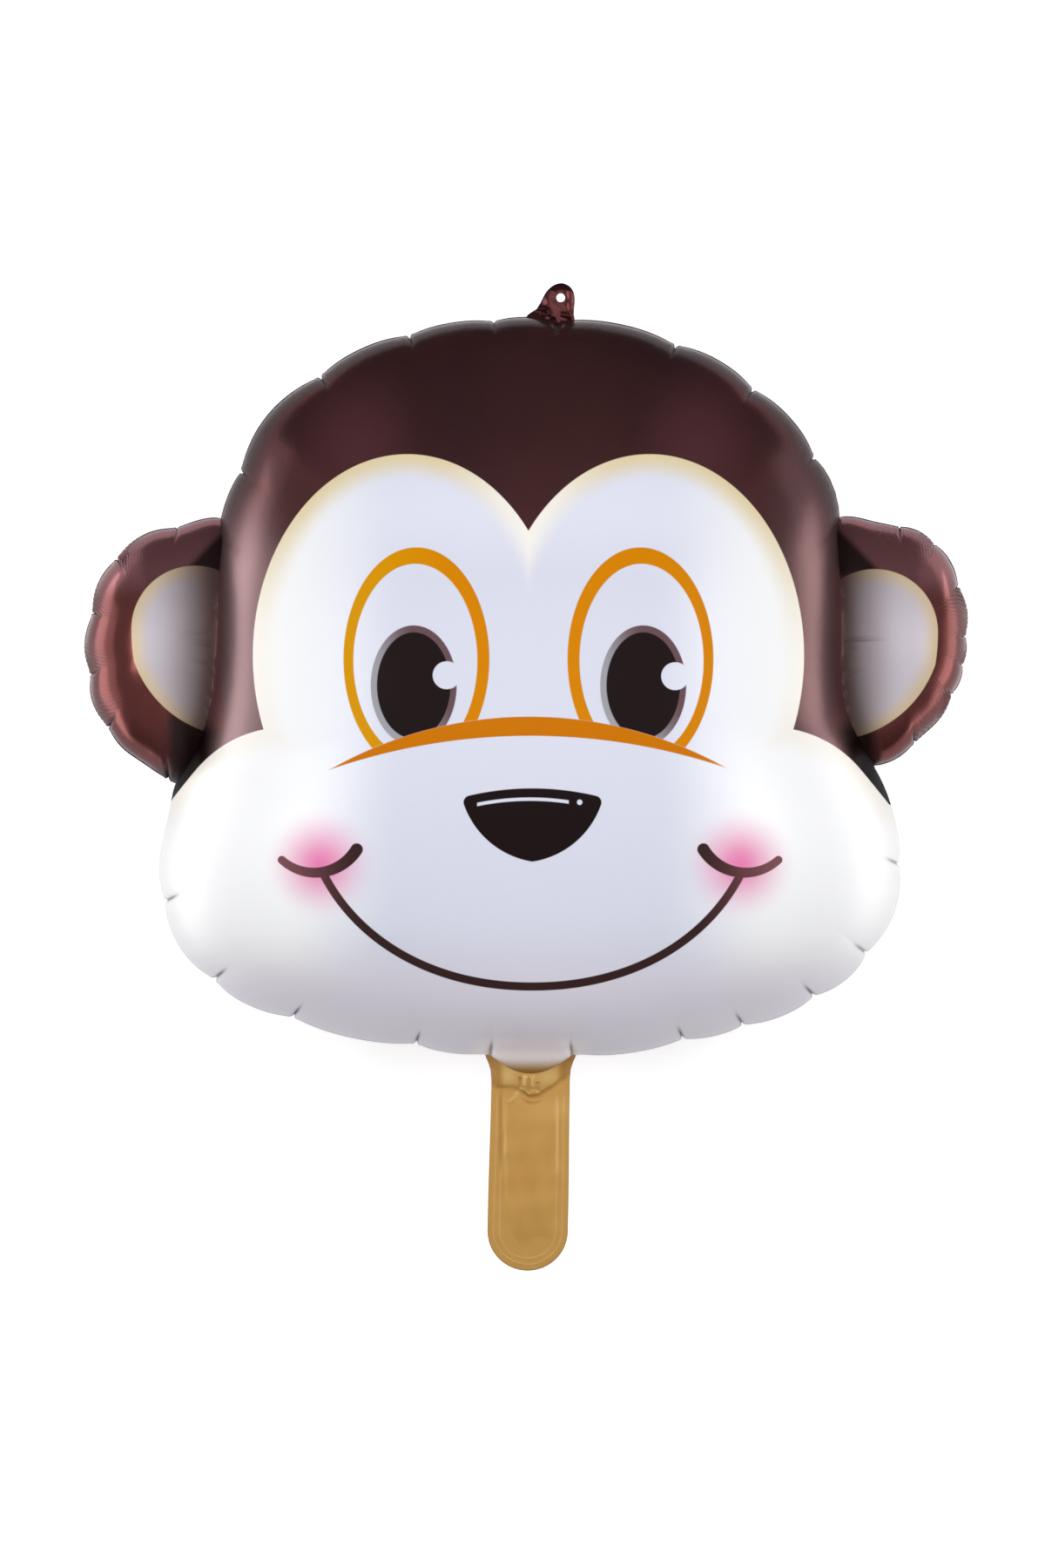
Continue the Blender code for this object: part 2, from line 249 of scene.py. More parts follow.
class Lobe:
    """One inflated part of the envelope, as grids of points on its front and back films."""

    def __init__(self, centre, outline, thickness, puckers, gather, plan=PLAN_EXPONENT):
        self.centre = centre
        self.half = thickness / 2
        self.gather = gather
        self.folds = ()
        self.plan = plan
        x = np.array([p[0] for p in outline])
        y = np.array([p[1] for p in outline])
        self.radius = closed_spline(np.arctan2(y, x) % math.tau, np.hypot(x, y) - WELD_WIDTH)
        self.round = float(np.mean(self.radius(np.linspace(0, math.tau, 72, endpoint=False))))
        table = np.array(puckers)
        self.angle = np.radians(table[:, 0])
        self.bow, self.notch, self.gathers = table[:, 1], table[:, 2], table[:, 3]

    def around(self, steps):
        """Angle, bow, signed distance along the seam to the nearest pucker, and which it is."""
        count = len(self.angle)
        parts = []
        for i in range(count):
            j = (i + 1) % count
            start = self.angle[i]
            gap = (self.angle[j] - start) % math.tau
            plain = 0.5 if self.notch[i] * self.notch[j] == 0 else 1.0
            number = max(8, round(steps * plain * math.degrees(gap)))
            share = np.arange(number) / number
            share = share - COLUMN_CROWDING * np.sin(math.tau * share)
            bow = self.bow[i] * (1 - np.abs(2 * share - 1) ** BOW_EXPONENT)
            span = gap * float(self.radius(start + gap / 2))
            first = share < 0.5
            along = np.where(first, share, share - 1) * span
            parts.append((start + gap * share, bow, along, np.where(first, i, j)))
        return [np.concatenate(column) for column in zip(*parts)]

    def film(self, steps, rings, side):
        """Points of one film as an array (rings + 1, points round, 3), from the seam up."""
        angle, bow, along, near = self.around(steps)
        step = np.linspace(0, 1, rings + 1)[:, None]
        even, crowded, exponent = RING_CROWDING
        latitude = (even * step + crowded * step**exponent) * math.pi / 2
        inward = np.maximum(np.cos(latitude), 0) ** (2 / self.plan)
        up = np.sin(latitude) ** (2 / RISE_EXPONENT)
        seam = self.radius(angle)[None, :]
        radius = seam + ROUNDING * (1 - inward) * (self.round - seam)
        climbed = np.hypot(up * self.half, radius * (1 - inward))
        out = self.puckered(bow, along, near, climbed)
        reach = radius * inward + out * np.cos(latitude)
        x = self.centre[0] + reach * np.cos(angle)
        y = self.centre[1] + reach * np.sin(angle)
        z = side * (self.half * up + out * np.sin(latitude)) + 0 * x
        if side > 0:
            for start, end in self.folds:
                z = z - FOLD_DEPTH * groove(x, y, start, end, FOLD_WIDTH)
        return np.stack([x, y, z], axis=2)

    def puckered(self, bow, along, near, climbed):
        """How far the film stands out from the plain pillow, along its normal."""
        pucker = self.gather
        swell = np.clip(1 - climbed / pucker["fade"], 0, 1) ** 1.5
        drawn = -pucker["scallop"] * (1 - bow) * swell
        width = pucker["width"] + NOTCH_SPREAD * climbed
        fade = np.clip(1 - climbed / pucker["run"], 0, 1) ** 1.2
        away = np.abs(along) / width
        height, place = NOTCH_SHOULDER
        valley = np.exp(-(away**1.5)) - height * np.exp(-((away - place) ** 2))
        notch = -pucker["notch"] * self.notch[near] * fade * valley
        return drawn + notch + GATHER_DEPTH * self.comb(self.gathers[near], along, climbed)

    def comb(self, strength, along, climbed):
        """The fine gathers beside a pucker, as waves of at most 1."""
        beside = np.clip(along * np.sign(strength), 0, None)
        wave = np.sin(math.tau * beside / GATHER_PITCH + GATHER_SLANT * climbed / GATHER_PITCH)
        reach = bell(beside, GATHER_LENGTH) * ease(2 * beside / GATHER_PITCH)
        rise = (0.3 + 0.7 * ease(climbed / GATHER_PITCH)) * bell(climbed, GATHER_CLIMB)
        return np.abs(strength) * wave * reach * rise

    def shade(self, x, y, z, length, width):
        """How strongly painted shade darkens a place in a pucker's fold or between its gathers, 0 to 1."""
        x, y = x - self.centre[0], y - self.centre[1]
        angle = np.arctan2(y, x)
        seam = self.radius(angle)
        inside = seam - np.hypot(x, y)
        climbed = np.hypot(z, np.maximum(inside, 0))
        own = (z > -LOBE_EDGE) & (inside > -LOBE_EDGE)
        near = np.where(own, ease(FOLD_SHADE_END * (1 - climbed / length)), 0)
        low = own & (climbed < GATHER_SHADE_CLIMB)
        found = np.zeros(len(x))
        for place, notch, gathers in zip(self.angle, self.notch, self.gathers):
            along = ((angle - place + math.pi) % math.tau - math.pi) * seam
            fold = notch * bell(along, width + FOLD_SHADE_SPREAD * climbed) * near
            lines = np.where(low, GATHER_SHADE * np.clip(-self.comb(gathers, along, climbed), 0, 1), 0)
            found = np.maximum(found, np.maximum(fold, lines))
        return np.clip(found, 0, 1)


def grid_faces(rows, columns, flip, closed=True):
    """Quads of a grid, which closes round its columns unless it is open."""
    i = np.arange(rows - 1)[:, None] * columns
    j = np.arange(columns if closed else columns - 1)[None, :]
    k = (j + 1) % columns
    quads = np.stack([i + j, i + k, i + columns + k, i + columns + j], axis=2).reshape(-1, 4)
    return quads[:, ::-1] if flip else quads


def new_piece(name, points, faces, materials, looks=None):
    mesh = bpy.data.meshes.new(name)
    mesh.from_pydata(np.asarray(points).tolist(), [], faces)
    for material in materials:
        mesh.materials.append(material)
    if looks is not None:
        mesh.polygons.foreach_set("material_index", looks)
    mesh.update()
    obj = bpy.data.objects.new(name, mesh)
    bpy.context.scene.collection.objects.link(obj)
    return obj


def pillow(name, lobe, steps, front_rings, back_rings, look, materials):
    """Both films of a lobe as one closed mesh."""
    front = lobe.film(steps, front_rings, 1)
    back = lobe.film(steps, back_rings, -1)
    around = front.shape[1]
    front_count = front_rings * around
    points = np.concatenate(
        [front[:-1].reshape(-1, 3), back[1:-1].reshape(-1, 3), front[-1, :1], back[-1, :1]]
    )
    ring = np.arange(around)
    back_index = np.append(ring, front_count + np.arange((back_rings - 1) * around))
    films = (
        (np.arange(front_count), front_rings, len(points) - 2, False, look),
        (back_index, back_rings, len(points) - 1, True, BACK),
    )
    faces, looks = [], []
    for index, rings, middle, flip, own_look in films:
        faces += index[grid_faces(rings, around, flip)].tolist()
        last = index[-around:]
        cap = np.stack([last, np.roll(last, -1)], axis=1)
        cap = cap[:, ::-1] if flip else cap
        faces += np.column_stack([cap, np.full(around, middle)]).tolist()
        looks += [own_look] * rings * around
    return new_piece(name, points, faces, materials, looks)


def keep_number(obj, name, values):
    """Keeps a number for each point, which the piece's material reads."""
    layer = obj.data.attributes.new(name, "FLOAT", "POINT")
    layer.data.foreach_set("value", np.asarray(values, np.float32))


def head_lobe():
    left = [(-x * HEAD_WIDTH / 2, y * HEAD_HEIGHT) for x, y in HEAD_LEFT]
    right = [(x * HEAD_WIDTH / 2, y * HEAD_HEIGHT) for x, y in HEAD_RIGHT]
    return Lobe((0.0, 0.0), left + right, HEAD_THICKNESS, HEAD_PUCKERS, HEAD_GATHER)


def ear_lobe(outline, puckers, folds):
    places = [(r * math.cos(math.radians(a)), r * math.sin(math.radians(a))) for a, r in outline]
    lobe = Lobe(EAR_MIDDLE, places, EAR_THICKNESS, puckers, EAR_GATHER, EAR_PLAN_EXPONENT)
    lobe.folds = folds
    return lobe


def neck_lobe(head):
    """Where the inflated film bulges into the mouth of the tail."""
    chin = -float(head.radius(-math.pi / 2)) - WELD_WIDTH
    turn = np.linspace(0, math.tau, 16, endpoint=False)
    outline = [(NECK_WIDTH / 2 * math.cos(a), NECK_WIDTH / 2 * math.sin(a)) for a in turn]
    centre = (-0.001, chin + NECK_WIDTH / 2 - NECK_DROP)
    return Lobe(centre, outline, NECK_THICKNESS, NECK_PUCKERS, NECK_GATHER)


def mirror(obj):
    """Turns a piece over to the other side of the face."""
    bm = bmesh.new()
    bm.from_mesh(obj.data)
    for vert in bm.verts:
        vert.co.x = -vert.co.x
    bmesh.ops.reverse_faces(bm, faces=bm.faces)
    bm.to_mesh(obj.data)
    bm.free()


def surface(obj):
    """The piece's faces as a tree that gives the nearest place on them."""
    mesh = obj.data
    return BVHTree.FromPolygons([v.co for v in mesh.vertices], [p.vertices for p in mesh.polygons])


def unite(target, others):
    for other in others:
        modifier = target.modifiers.new("join", "BOOLEAN")
        modifier.operation = "UNION"
        modifier.solver = "MANIFOLD"
        modifier.object = other
        bpy.context.view_layer.update()
        graph = bpy.context.evaluated_depsgraph_get()
        united = bpy.data.meshes.new_from_object(target.evaluated_get(graph))
        target.modifiers.clear()
        target.data = united
        bpy.data.objects.remove(other, do_unlink=True)


def coordinates(mesh):
    points = np.empty(len(mesh.vertices) * 3, np.float32)
    mesh.vertices.foreach_get("co", points)
    return points.reshape(-1, 3).astype(float)


def signed_distance(tree, point, reach):
    """How far the point is outside the surface, and the surface's normal there."""
    place, normal, _, distance = tree.find_nearest(point, reach)
    if place is None:
        return None, None
    away = point - place
    return (distance if away.dot(normal) > 0 else -distance), normal


def round_creases(obj, main, sides, reach_at):
    """Fills the crease between the main lobe and each side lobe with a smooth hollow."""
    for vert in obj.data.vertices:
        reach = reach_at(vert.co)
        if reach < 0.0005:
            continue
        for _ in range(4):
            point = vert.co
            here, normal = signed_distance(main, point, reach * 1.5)
            if here is None:
                break
            there, other_normal = None, None
            for side in sides:
                there, other_normal = signed_distance(side, point, reach * 1.5)
                if there is not None:
                    break
            if there is None:
                break
            mix = max(0.0, min(1.0, 0.5 + 0.5 * (there - here) / reach))
            level = there * (1 - mix) + here * mix - reach * mix * (1 - mix)
            slope = other_normal * (1 - mix) + normal * mix
            strength = slope.length_squared
            if abs(level) < 0.00002 or strength < 0.05:
                break
            vert.co = point - slope * (level / max(strength, 0.35))


def lift(obj):
    """From the seam's plane up to where the balloon lies."""
    points = coordinates(obj.data)
    points[:, 2] = np.maximum(points[:, 2] + SEAM_HEIGHT, 0.0)
    obj.data.vertices.foreach_set("co", points.astype(np.float32).ravel())
    obj.data.update()


def passage_reach(point):
    """How wide the hollow between the head and an ear is at this height on the face."""
    if abs(point.x) < PASSAGE_START:
        return 0.0
    return PASSAGE_REACH * float(ease(1.25 - abs(point.y - PASSAGE_MIDDLE) / PASSAGE_HALF))


def neck_reach(point):
    if abs(point.x) > NECK_BOX[0] or point.y > NECK_BOX[1]:
        return 0.0
    return NECK_REACH


def make_envelope(materials):
    head = head_lobe()
    rings = (HEAD_FRONT_RINGS, HEAD_BACK_RINGS)
    envelope = pillow("printed_envelope", head, HEAD_STEPS, *rings, FACE, materials)
    sides = []
    shades = [(head, 1, HEAD_FOLD_SHADE)]
    ears = (
        ("ear_right", RIGHT_EAR_OUTLINE, RIGHT_EAR_PUCKERS, RIGHT_EAR_FOLDS),
        ("ear_left", LEFT_EAR_OUTLINE, LEFT_EAR_PUCKERS, LEFT_EAR_FOLDS),
    )
    for name, outline, puckers, folds in ears:
        lobe = ear_lobe(outline, puckers, folds)
        sides.append(pillow(name, lobe, EAR_STEPS, EAR_FRONT_RINGS, EAR_BACK_RINGS, EAR, materials))
        shades.append((lobe, 1 if name == "ear_right" else -1, EAR_FOLD_SHADE))
    mirror(sides[1])
    neck = pillow("neck", neck_lobe(head), NECK_STEPS, NECK_RINGS, NECK_RINGS, FACE, materials)
    main = surface(envelope)
    ear_trees = [surface(ear) for ear in sides]
    neck_tree = surface(neck)
    unite(envelope, [*sides, neck])
    round_creases(envelope, main, ear_trees, passage_reach)
    round_creases(envelope, main, [neck_tree], neck_reach)
    # Painted shade in the puckers' folds and between the gathers, kept for each point for the print to
    # read
    x, y, z = coordinates(envelope.data).T
    folds = [lobe.shade(side * x, y, z, *size) for lobe, side, size in shades]
    keep_number(envelope, "fold", np.maximum.reduce(folds))
    return envelope


def seam_loop(mesh):
    """The envelope's seam as an ordered loop of points in its plane, anticlockwise."""
    looks = {}
    for face in mesh.polygons:
        for edge in face.edge_keys:
            looks.setdefault(edge, set()).add(face.material_index == BACK)
    links = {}
    for (a, b), sides in looks.items():
        if len(sides) == 2:
            links.setdefault(a, []).append(b)
            links.setdefault(b, []).append(a)
    start = max(links, key=lambda i: mesh.vertices[i].co.y)
    loop, before, here = [start], None, start
    while True:
        ahead = [i for i in links[here] if i != before]
        before, here = here, ahead[0]
        if here == start:
            break
        loop.append(here)
    points = np.array([mesh.vertices[i].co[:2] for i in loop])
    x, y = points.T
    area = np.sum(x * np.roll(y, -1) - np.roll(x, -1) * y)
    return points if area > 0 else points[::-1]


def smooth_round(values, passes):
    for _ in range(passes):
        values = (np.roll(values, 1, 0) + 2 * values + np.roll(values, -1, 0)) / 4
    return values


def unit(vectors):
    return vectors / np.maximum(np.linalg.norm(vectors, axis=1, keepdims=True), 1e-9)


def make_weld(envelope, materials):
    """The flat welded edge of both films, all round the seam."""
    loop = seam_loop(envelope.data)
    ahead = np.roll(loop, -1, 0) - np.roll(loop, 1, 0)
    normal = smooth_round(unit(np.stack([ahead[:, 1], -ahead[:, 0]], axis=1)), 3)
    width = WELD_WIDTH * np.clip(np.linalg.norm(normal, axis=1), 0.2, 1)
    normal = unit(normal)
    inner = loop - normal * WELD_OVERLAP
    outer = loop + normal * width[:, None]
    length = np.cumsum(np.linalg.norm(loop - np.roll(loop, 1, 0), axis=1))
    wave = sum(depth * np.sin(length / pitch + start) for depth, pitch, start in WELD_WAVES)
    half = WELD_THICKNESS / 2
    rings = []
    for plan, height in ((inner, 4 * half), (outer, half), (outer, -half), (inner, -4 * half)):
        rings.append(np.column_stack([plan, SEAM_HEIGHT + height + wave]))
    points = np.concatenate(rings)
    faces = grid_faces(len(rings) + 1, len(loop), True) % len(points)
    faces = np.roll(faces, 1, axis=1).tolist()
    return new_piece("weld_rim", points, faces, materials)


# The inflation tail, in metres: half widths and the middle at heights below the chin
TAIL_HALF = (
    (-0.2300, 0.0310), (-0.2385, 0.0308), (-0.2425, 0.0290), (-0.2475, 0.0273),
    (-0.2550, 0.0267), (-0.2800, 0.0268), (-0.3300, 0.0274), (-0.3576, 0.0274),
)
TAIL_MIDDLE = ((-0.2300, -0.0010), (-0.2600, -0.0010), (-0.3576, -0.0030))
TAIL_ROUND = 0.0271
TAIL_TOP = -0.2330
TAIL_FOOT = -0.3576
TAIL_ROWS = 230
TAIL_TURNS = 72
TAIL_COLUMNS = 50
TAIL_CROWDING = 1.12
# The two lines of the weld, by their distance from the edge
SEAL_LINES = (0.0042, 0.0082)
SEAL_HEIGHT = 0.00016
SEAL_WIDTH = 0.00035
FILM_HALF = 0.00015
# The crease under the puffed bow at the tail's top, as (x, y), and how far the bow puffs
BOW_CREASE = (
    (-0.0300, -0.2585), (-0.0246, -0.2593), (-0.0124, -0.2598), (-0.0082, -0.2619),
    (-0.0018, -0.2661), (0.0035, -0.2656), (0.0088, -0.2624), (0.0140, -0.2593),
    (0.0188, -0.2550), (0.0300, -0.2500),
)
BOW_PUFF = 0.0050
BOW_LENGTH = 0.022
BOW_FLANK = 0.0245
BOW_TOP = -0.2340
# How the bow rounds off upwards and inwards, and the hollow under it, as (depth, width)
BOW_EXPONENTS = (2.0, 2.2)
BOW_HOLLOW = (0.0011, 0.0022)
# The gas left in the film, and where it begins at the edge, the top and the foot; here and
# below a pair that a ramp takes is its (start, run)
TAIL_GAS = 0.0011
GAS_RAMPS = ((0.0085, 0.014), (-0.2620, -0.012), (-0.366, 0.02))
BACK_SHARE = 0.6
EDGE_CLOSING = 0.0006
# The small waves of slack film: their heights and pitches
WRINKLE_HEIGHTS = (0.00022, 0.00016)
WRINKLE_PITCHES = (0.0031, 0.019, 0.013, 0.0052, 0.0044)
WRINKLE_INSET = 0.006
# Lines in the tail's film, each as (height or painted light and shade, start, end, half its width)
BOW_KNOT = (
    (0.0011, (-0.0050, -0.2600), (-0.0047, -0.2525), 0.0013),
    (0.0011, (0.0003, -0.2605), (0.0000, -0.2520), 0.0013),
    (-0.0010, (-0.0078, -0.2610), (-0.0082, -0.2530), 0.0012),
    (-0.0010, (-0.0025, -0.2640), (-0.0024, -0.2530), 0.0010),
    (-0.0008, (0.0042, -0.2630), (0.0038, -0.2560), 0.0014),
)
TAIL_FOLDS = (
    (0.0006, (-0.0209, -0.2600), (-0.0212, -0.3160), 0.0011),
    (0.0004, (-0.0247, -0.2620), (-0.0252, -0.3300), 0.0009),
)
TAIL_RIDGES = (
    (0.0007, (-0.0156, -0.2705), (-0.0090, -0.2620), 0.0011),
    (0.0004, (-0.0175, -0.2640), (-0.0170, -0.3080), 0.0016),
    (0.00035, (0.0165, -0.2640), (0.0172, -0.3200), 0.0010),
)
# Painted highlights (a value above 0) and painted shade (below 0) along the knot, the folds and the ridges
TAIL_PAINTED_LINES = (
    (0.42, (-0.0056, -0.2618), (-0.0046, -0.2510), 0.0019),
    (0.28, (0.0006, -0.2625), (-0.0002, -0.2525), 0.0016),
    (-0.40, (-0.0086, -0.2610), (-0.0078, -0.2520), 0.0011),
    (-0.30, (-0.0022, -0.2640), (-0.0026, -0.2545), 0.0009),
    (-0.30, (0.0046, -0.2630), (0.0036, -0.2560), 0.0013),
    (0.40, (-0.0160, -0.2712), (-0.0086, -0.2616), 0.0013),
    (-0.45, (-0.0209, -0.2590), (-0.0214, -0.3160), 0.0013),
    (0.14, (-0.0182, -0.2640), (-0.0176, -0.3400), 0.0016),
    (0.12, (0.0165, -0.2640), (0.0172, -0.3240), 0.0010),
)
# Painted highlights on the bow's two loops, as (how much lighter, centre, radii)
BOW_GLOWS = (
    (0.40, (-0.0156, -0.2508), (0.0055, 0.0055)),
    (0.35, (0.0109, -0.2525), (0.0070, 0.0050)),
)
# Painted light over the puffed bow and painted shade on its flanks, about its middle
BOW_LIGHT = 0.30
BOW_SHADE = 0.80
BOW_MIDDLE = -0.0010
BOW_FADES = (0.002, -0.006)
BOW_SHADE_RAMP = (0.0170, 0.006)
# Painted shade along the bow's crease, painted highlights across the film and on the seal lines, and
# painted shade at the very edge
CREASE_SHADE = (-0.60, 0.0014, 0.004)
SLANT_GLOW = (0.15, -0.2800, 0.3, 0.0090)
SLANT_RAMP = (-0.012, 0.02)
SEAL_GLOW = (0.22, 0.00045)
SEAL_RAMP = (-0.2640, -0.006)
EDGE_SHADE = (0.60, 0.0011)
# The most painted light or shade that the back film takes
BACK_SHADING_LIMIT = 0.3


def along(table, at):
    """Straight interpolation in a table of (place, value), its places in either order."""
    table = sorted(table)
    return np.interp(at, [row[0] for row in table], [row[1] for row in table])


def wrinkles(x, y):
    """The waves of the tail's slack film."""
    a, b, c, d, e = WRINKLE_PITCHES
    waves = WRINKLE_HEIGHTS[0] * np.sin(x / a + 1.4 * np.sin(y / b)) * np.sin(y / c + 0.6)
    return waves + WRINKLE_HEIGHTS[1] * np.sin((x + y) / d) * np.cos((x - 0.6 * y) / e)


def tail_height(x, y, inset, side):
    """How far a film of the tail stands from the seam's plane."""
    top = along(BOW_CREASE, x)
    above = np.clip((y - top) / BOW_LENGTH, 0, 1)
    flank = np.clip(inset / BOW_FLANK, 0, 1)
    upward, inward = BOW_EXPONENTS
    puff = BOW_PUFF * (1 - (1 - above) ** upward) * (1 - (1 - flank) ** inward)
    depth, width = BOW_HOLLOW
    under = depth * bell(y - top + width, width) * ease(flank * 1.5)
    at_edge, at_top, at_foot = GAS_RAMPS
    gas = TAIL_GAS * ramp(inset, *at_edge) * ramp(y, *at_top) * ramp(y, *at_foot)
    folds = grooves(x, y, TAIL_FOLDS)
    height = FILM_HALF + puff + gas + grooves(x, y, TAIL_RIDGES)
    height = height + wrinkles(x, y) * ease(inset / WRINKLE_INSET)
    if side > 0:
        height = height + grooves(x, y, BOW_KNOT) - under - folds
    else:
        height = height - BACK_SHARE * folds - BACK_SHARE * under
    for line in SEAL_LINES:
        height = height + SEAL_HEIGHT * bell(inset - line, SEAL_WIDTH)
    closing = ease(inset / EDGE_CLOSING)
    return side * np.maximum(height * closing, FILM_HALF * closing)


def tail_painted_shading(x, y, inset):
    """Painted light and shade on the tail's film: lighter up to 1, darker down to -1."""
    top = along(BOW_CREASE, x)
    bow = ramp(y, top, BOW_FADES[0]) * ramp(y, BOW_TOP, BOW_FADES[1])
    strength, width, edge = CREASE_SHADE
    painted_shading = strength * bell(y - top, width) * ease(inset / edge)
    painted_shading = painted_shading + BOW_LIGHT * bow
    painted_shading = painted_shading - BOW_SHADE * bow * ramp(np.abs(x - BOW_MIDDLE), *BOW_SHADE_RAMP)
    for strength, (u, v), (across, up) in BOW_GLOWS:
        painted_shading = painted_shading + strength * np.exp(-(((x - u) / across) ** 2) - ((y - v) / up) ** 2)
    painted_shading = painted_shading + grooves(x, y, TAIL_PAINTED_LINES)
    strength, place, slope, width = SLANT_GLOW
    painted_shading = painted_shading + strength * bell(y - place - slope * x, width) * ramp(x, *SLANT_RAMP)
    strength, width = SEAL_GLOW
    for line in SEAL_LINES:
        painted_shading = painted_shading + strength * bell(inset - line, width) * ramp(y, *SEAL_RAMP)
    return np.clip(painted_shading - EDGE_SHADE[0] * (1 - ease(inset / EDGE_SHADE[1])), -1, 1)


def mend(obj, weld=0.0):
    """Joins points that lie closer than weld, and turns the faces outwards."""
    bm = bmesh.new()
    bm.from_mesh(obj.data)
    if weld > 0:
        bmesh.ops.remove_doubles(bm, verts=bm.verts, dist=weld)
    bmesh.ops.recalc_face_normals(bm, faces=bm.faces)
    bm.to_mesh(obj.data)
    bm.free()


def make_tail(materials):
    """Two welded films that hang flat below the chin, with the gathered mouth at their top."""
    straight = np.linspace(TAIL_TOP, TAIL_FOOT, TAIL_ROWS)
    turn = np.linspace(math.pi, math.tau, TAIL_TURNS)[1:-1]
    half = along(TAIL_HALF, straight)
    middle = along(TAIL_MIDDLE, straight)
    foot = (middle[-1], straight[-1])
    bend = np.column_stack([foot[0] + half[-1] * np.cos(turn), foot[1] + TAIL_ROUND * np.sin(turn)])
    left = np.column_stack([middle - half, straight])
    right = np.column_stack([middle + half, straight])
    core = np.column_stack([middle, straight])
    edge = np.concatenate([left, bend, right[::-1]])
    spine = np.concatenate([core, np.tile(foot, (len(turn), 1)), core[::-1]])
    insets = np.linspace(0, 1, TAIL_COLUMNS) ** TAIL_CROWDING
    width = np.linalg.norm(edge - spine, axis=1)
    sheets = []
    plan = edge[None] * (1 - insets[:, None, None]) + spine[None] * insets[:, None, None]
    inset = insets[:, None] * width[None]
    for side in (1, -1):
        z = tail_height(plan[..., 0], plan[..., 1], inset, side)
        sheets.append(np.dstack([plan, SEAM_HEIGHT + z]))
    rows, columns = sheets[0].shape[:2]
    points = np.concatenate([sheets[0].reshape(-1, 3), sheets[1].reshape(-1, 3)])
    quads = grid_faces(rows, columns, False, closed=False)
    back = quads[:, ::-1] + rows * columns
    top = []
    for column in (0, columns - 1):
        for row in range(rows - 1):
            a, b = row * columns + column, (row + 1) * columns + column
            ring = (a, b, b + rows * columns, a + rows * columns)
            top.append(ring if column == 0 else ring[::-1])
    tail = new_piece("inflation_tail", points, [*quads.tolist(), *back.tolist(), *top], materials)
    # Painted light and shade on both films, milder on the back
    painted_shading = tail_painted_shading(plan[..., 0], plan[..., 1], inset).ravel()
    keep_number(tail, "painted_shading", np.concatenate([painted_shading, np.clip(painted_shading, -BACK_SHADING_LIMIT, BACK_SHADING_LIMIT)]))
    mend(tail, 0.00001)
    return tail


# The hanging tab's edge, anticlockwise from its right foot, and its hole
TAB_EDGE = (
    (0.0283, 0.2600), (0.0284, 0.2670), (0.0289, 0.2735), (0.0290, 0.2780),
    (0.0278, 0.2825), (0.0247, 0.2860), (0.0200, 0.2876), (0.0148, 0.2862),
    (0.0103, 0.2824), (0.0078, 0.2784), (0.0050, 0.2730), (0.0020, 0.2688),
    (-0.0026, 0.2662), (-0.0050, 0.2610), (0.0050, 0.2585), (0.0180, 0.2585),
)
TAB_EYE = (0.0195, 0.2776)
TAB_HOLE_RADIUS = 0.0030
TAB_STEPS = 180
TAB_RINGS = 26
TAB_CROWDING = 1.15
# Its bends, as heights with what bounds them, and where painted shade darkens its film
TAB_CURL = (-0.0022, (0.0125, -0.012), (0.262, 0.01))
TAB_CROWN = (-0.0012, (0.2820, 0.006))
TAB_SIDE = (0.0009, 0.0262, 0.0022, (0.262, 0.008))
TAB_WAVES = (0.00018, 0.0017, 0.0031, 0.0023)
PAINTED_SHADE_LEFT = (0.0215, -0.010)
PAINTED_SHADE_EDGE = (0.80, 0.17)
PAINTED_SHADE_HOLE = (0.10, -0.08)
PAINTED_SHADE_TOP = (0.2800, 0.005)
# The creases at its foot, as the tail's
TAB_CREASES = (
    (0.0012, (0.0020, 0.2696), (0.0105, 0.2705), 0.0010),
    (0.0013, (0.0106, 0.2705), (0.0122, 0.2655), 0.0010),
    (-0.0014, (0.0065, 0.2675), (0.0095, 0.2655), 0.0016),
    (-0.0016, (0.0150, 0.2640), (0.0125, 0.2590), 0.0013),
    (0.0007, (0.0190, 0.2665), (0.0270, 0.2650), 0.0012),
)


def closed_curve(points, count):
    """Evenly spaced places on a smooth closed curve through the points."""
    p = np.array(points)
    fine = []
    for i in range(len(p)):
        a, b, c, d = p[i - 1], p[i], p[(i + 1) % len(p)], p[(i + 2) % len(p)]
        t = np.linspace(0, 1, 24, endpoint=False)[:, None]
        square = (2 * a - 5 * b + 4 * c - d) * t**2
        cube = (3 * b - a - 3 * c + d) * t**3
        fine.append(0.5 * (2 * b + (c - a) * t + square + cube))
    fine = np.concatenate(fine)
    closed = np.vstack([fine, fine[:1]])
    length = np.append(0, np.cumsum(np.linalg.norm(np.diff(closed, axis=0), axis=1)))
    at = np.linspace(0, length[-1], count, endpoint=False)
    return np.column_stack([np.interp(at, length, closed[:, 0]), np.interp(at, length, closed[:, 1])])


def tab_height(x, y):
    """The tab's wave: its left flank curls back and its foot is creased where the film draws it."""
    depth, across, up = TAB_CURL
    height = depth * (ramp(x, *across) * ramp(y, *up))
    depth, up = TAB_CROWN
    height = height + depth * ramp(y, *up) + grooves(x, y, TAB_CREASES)
    depth, middle, width, up = TAB_SIDE
    height = height + depth * bell(x - middle, width) * ramp(y, *up)
    depth, a, b, c = TAB_WAVES
    return height + depth * np.sin(x / a + y / b) * np.cos(y / c)


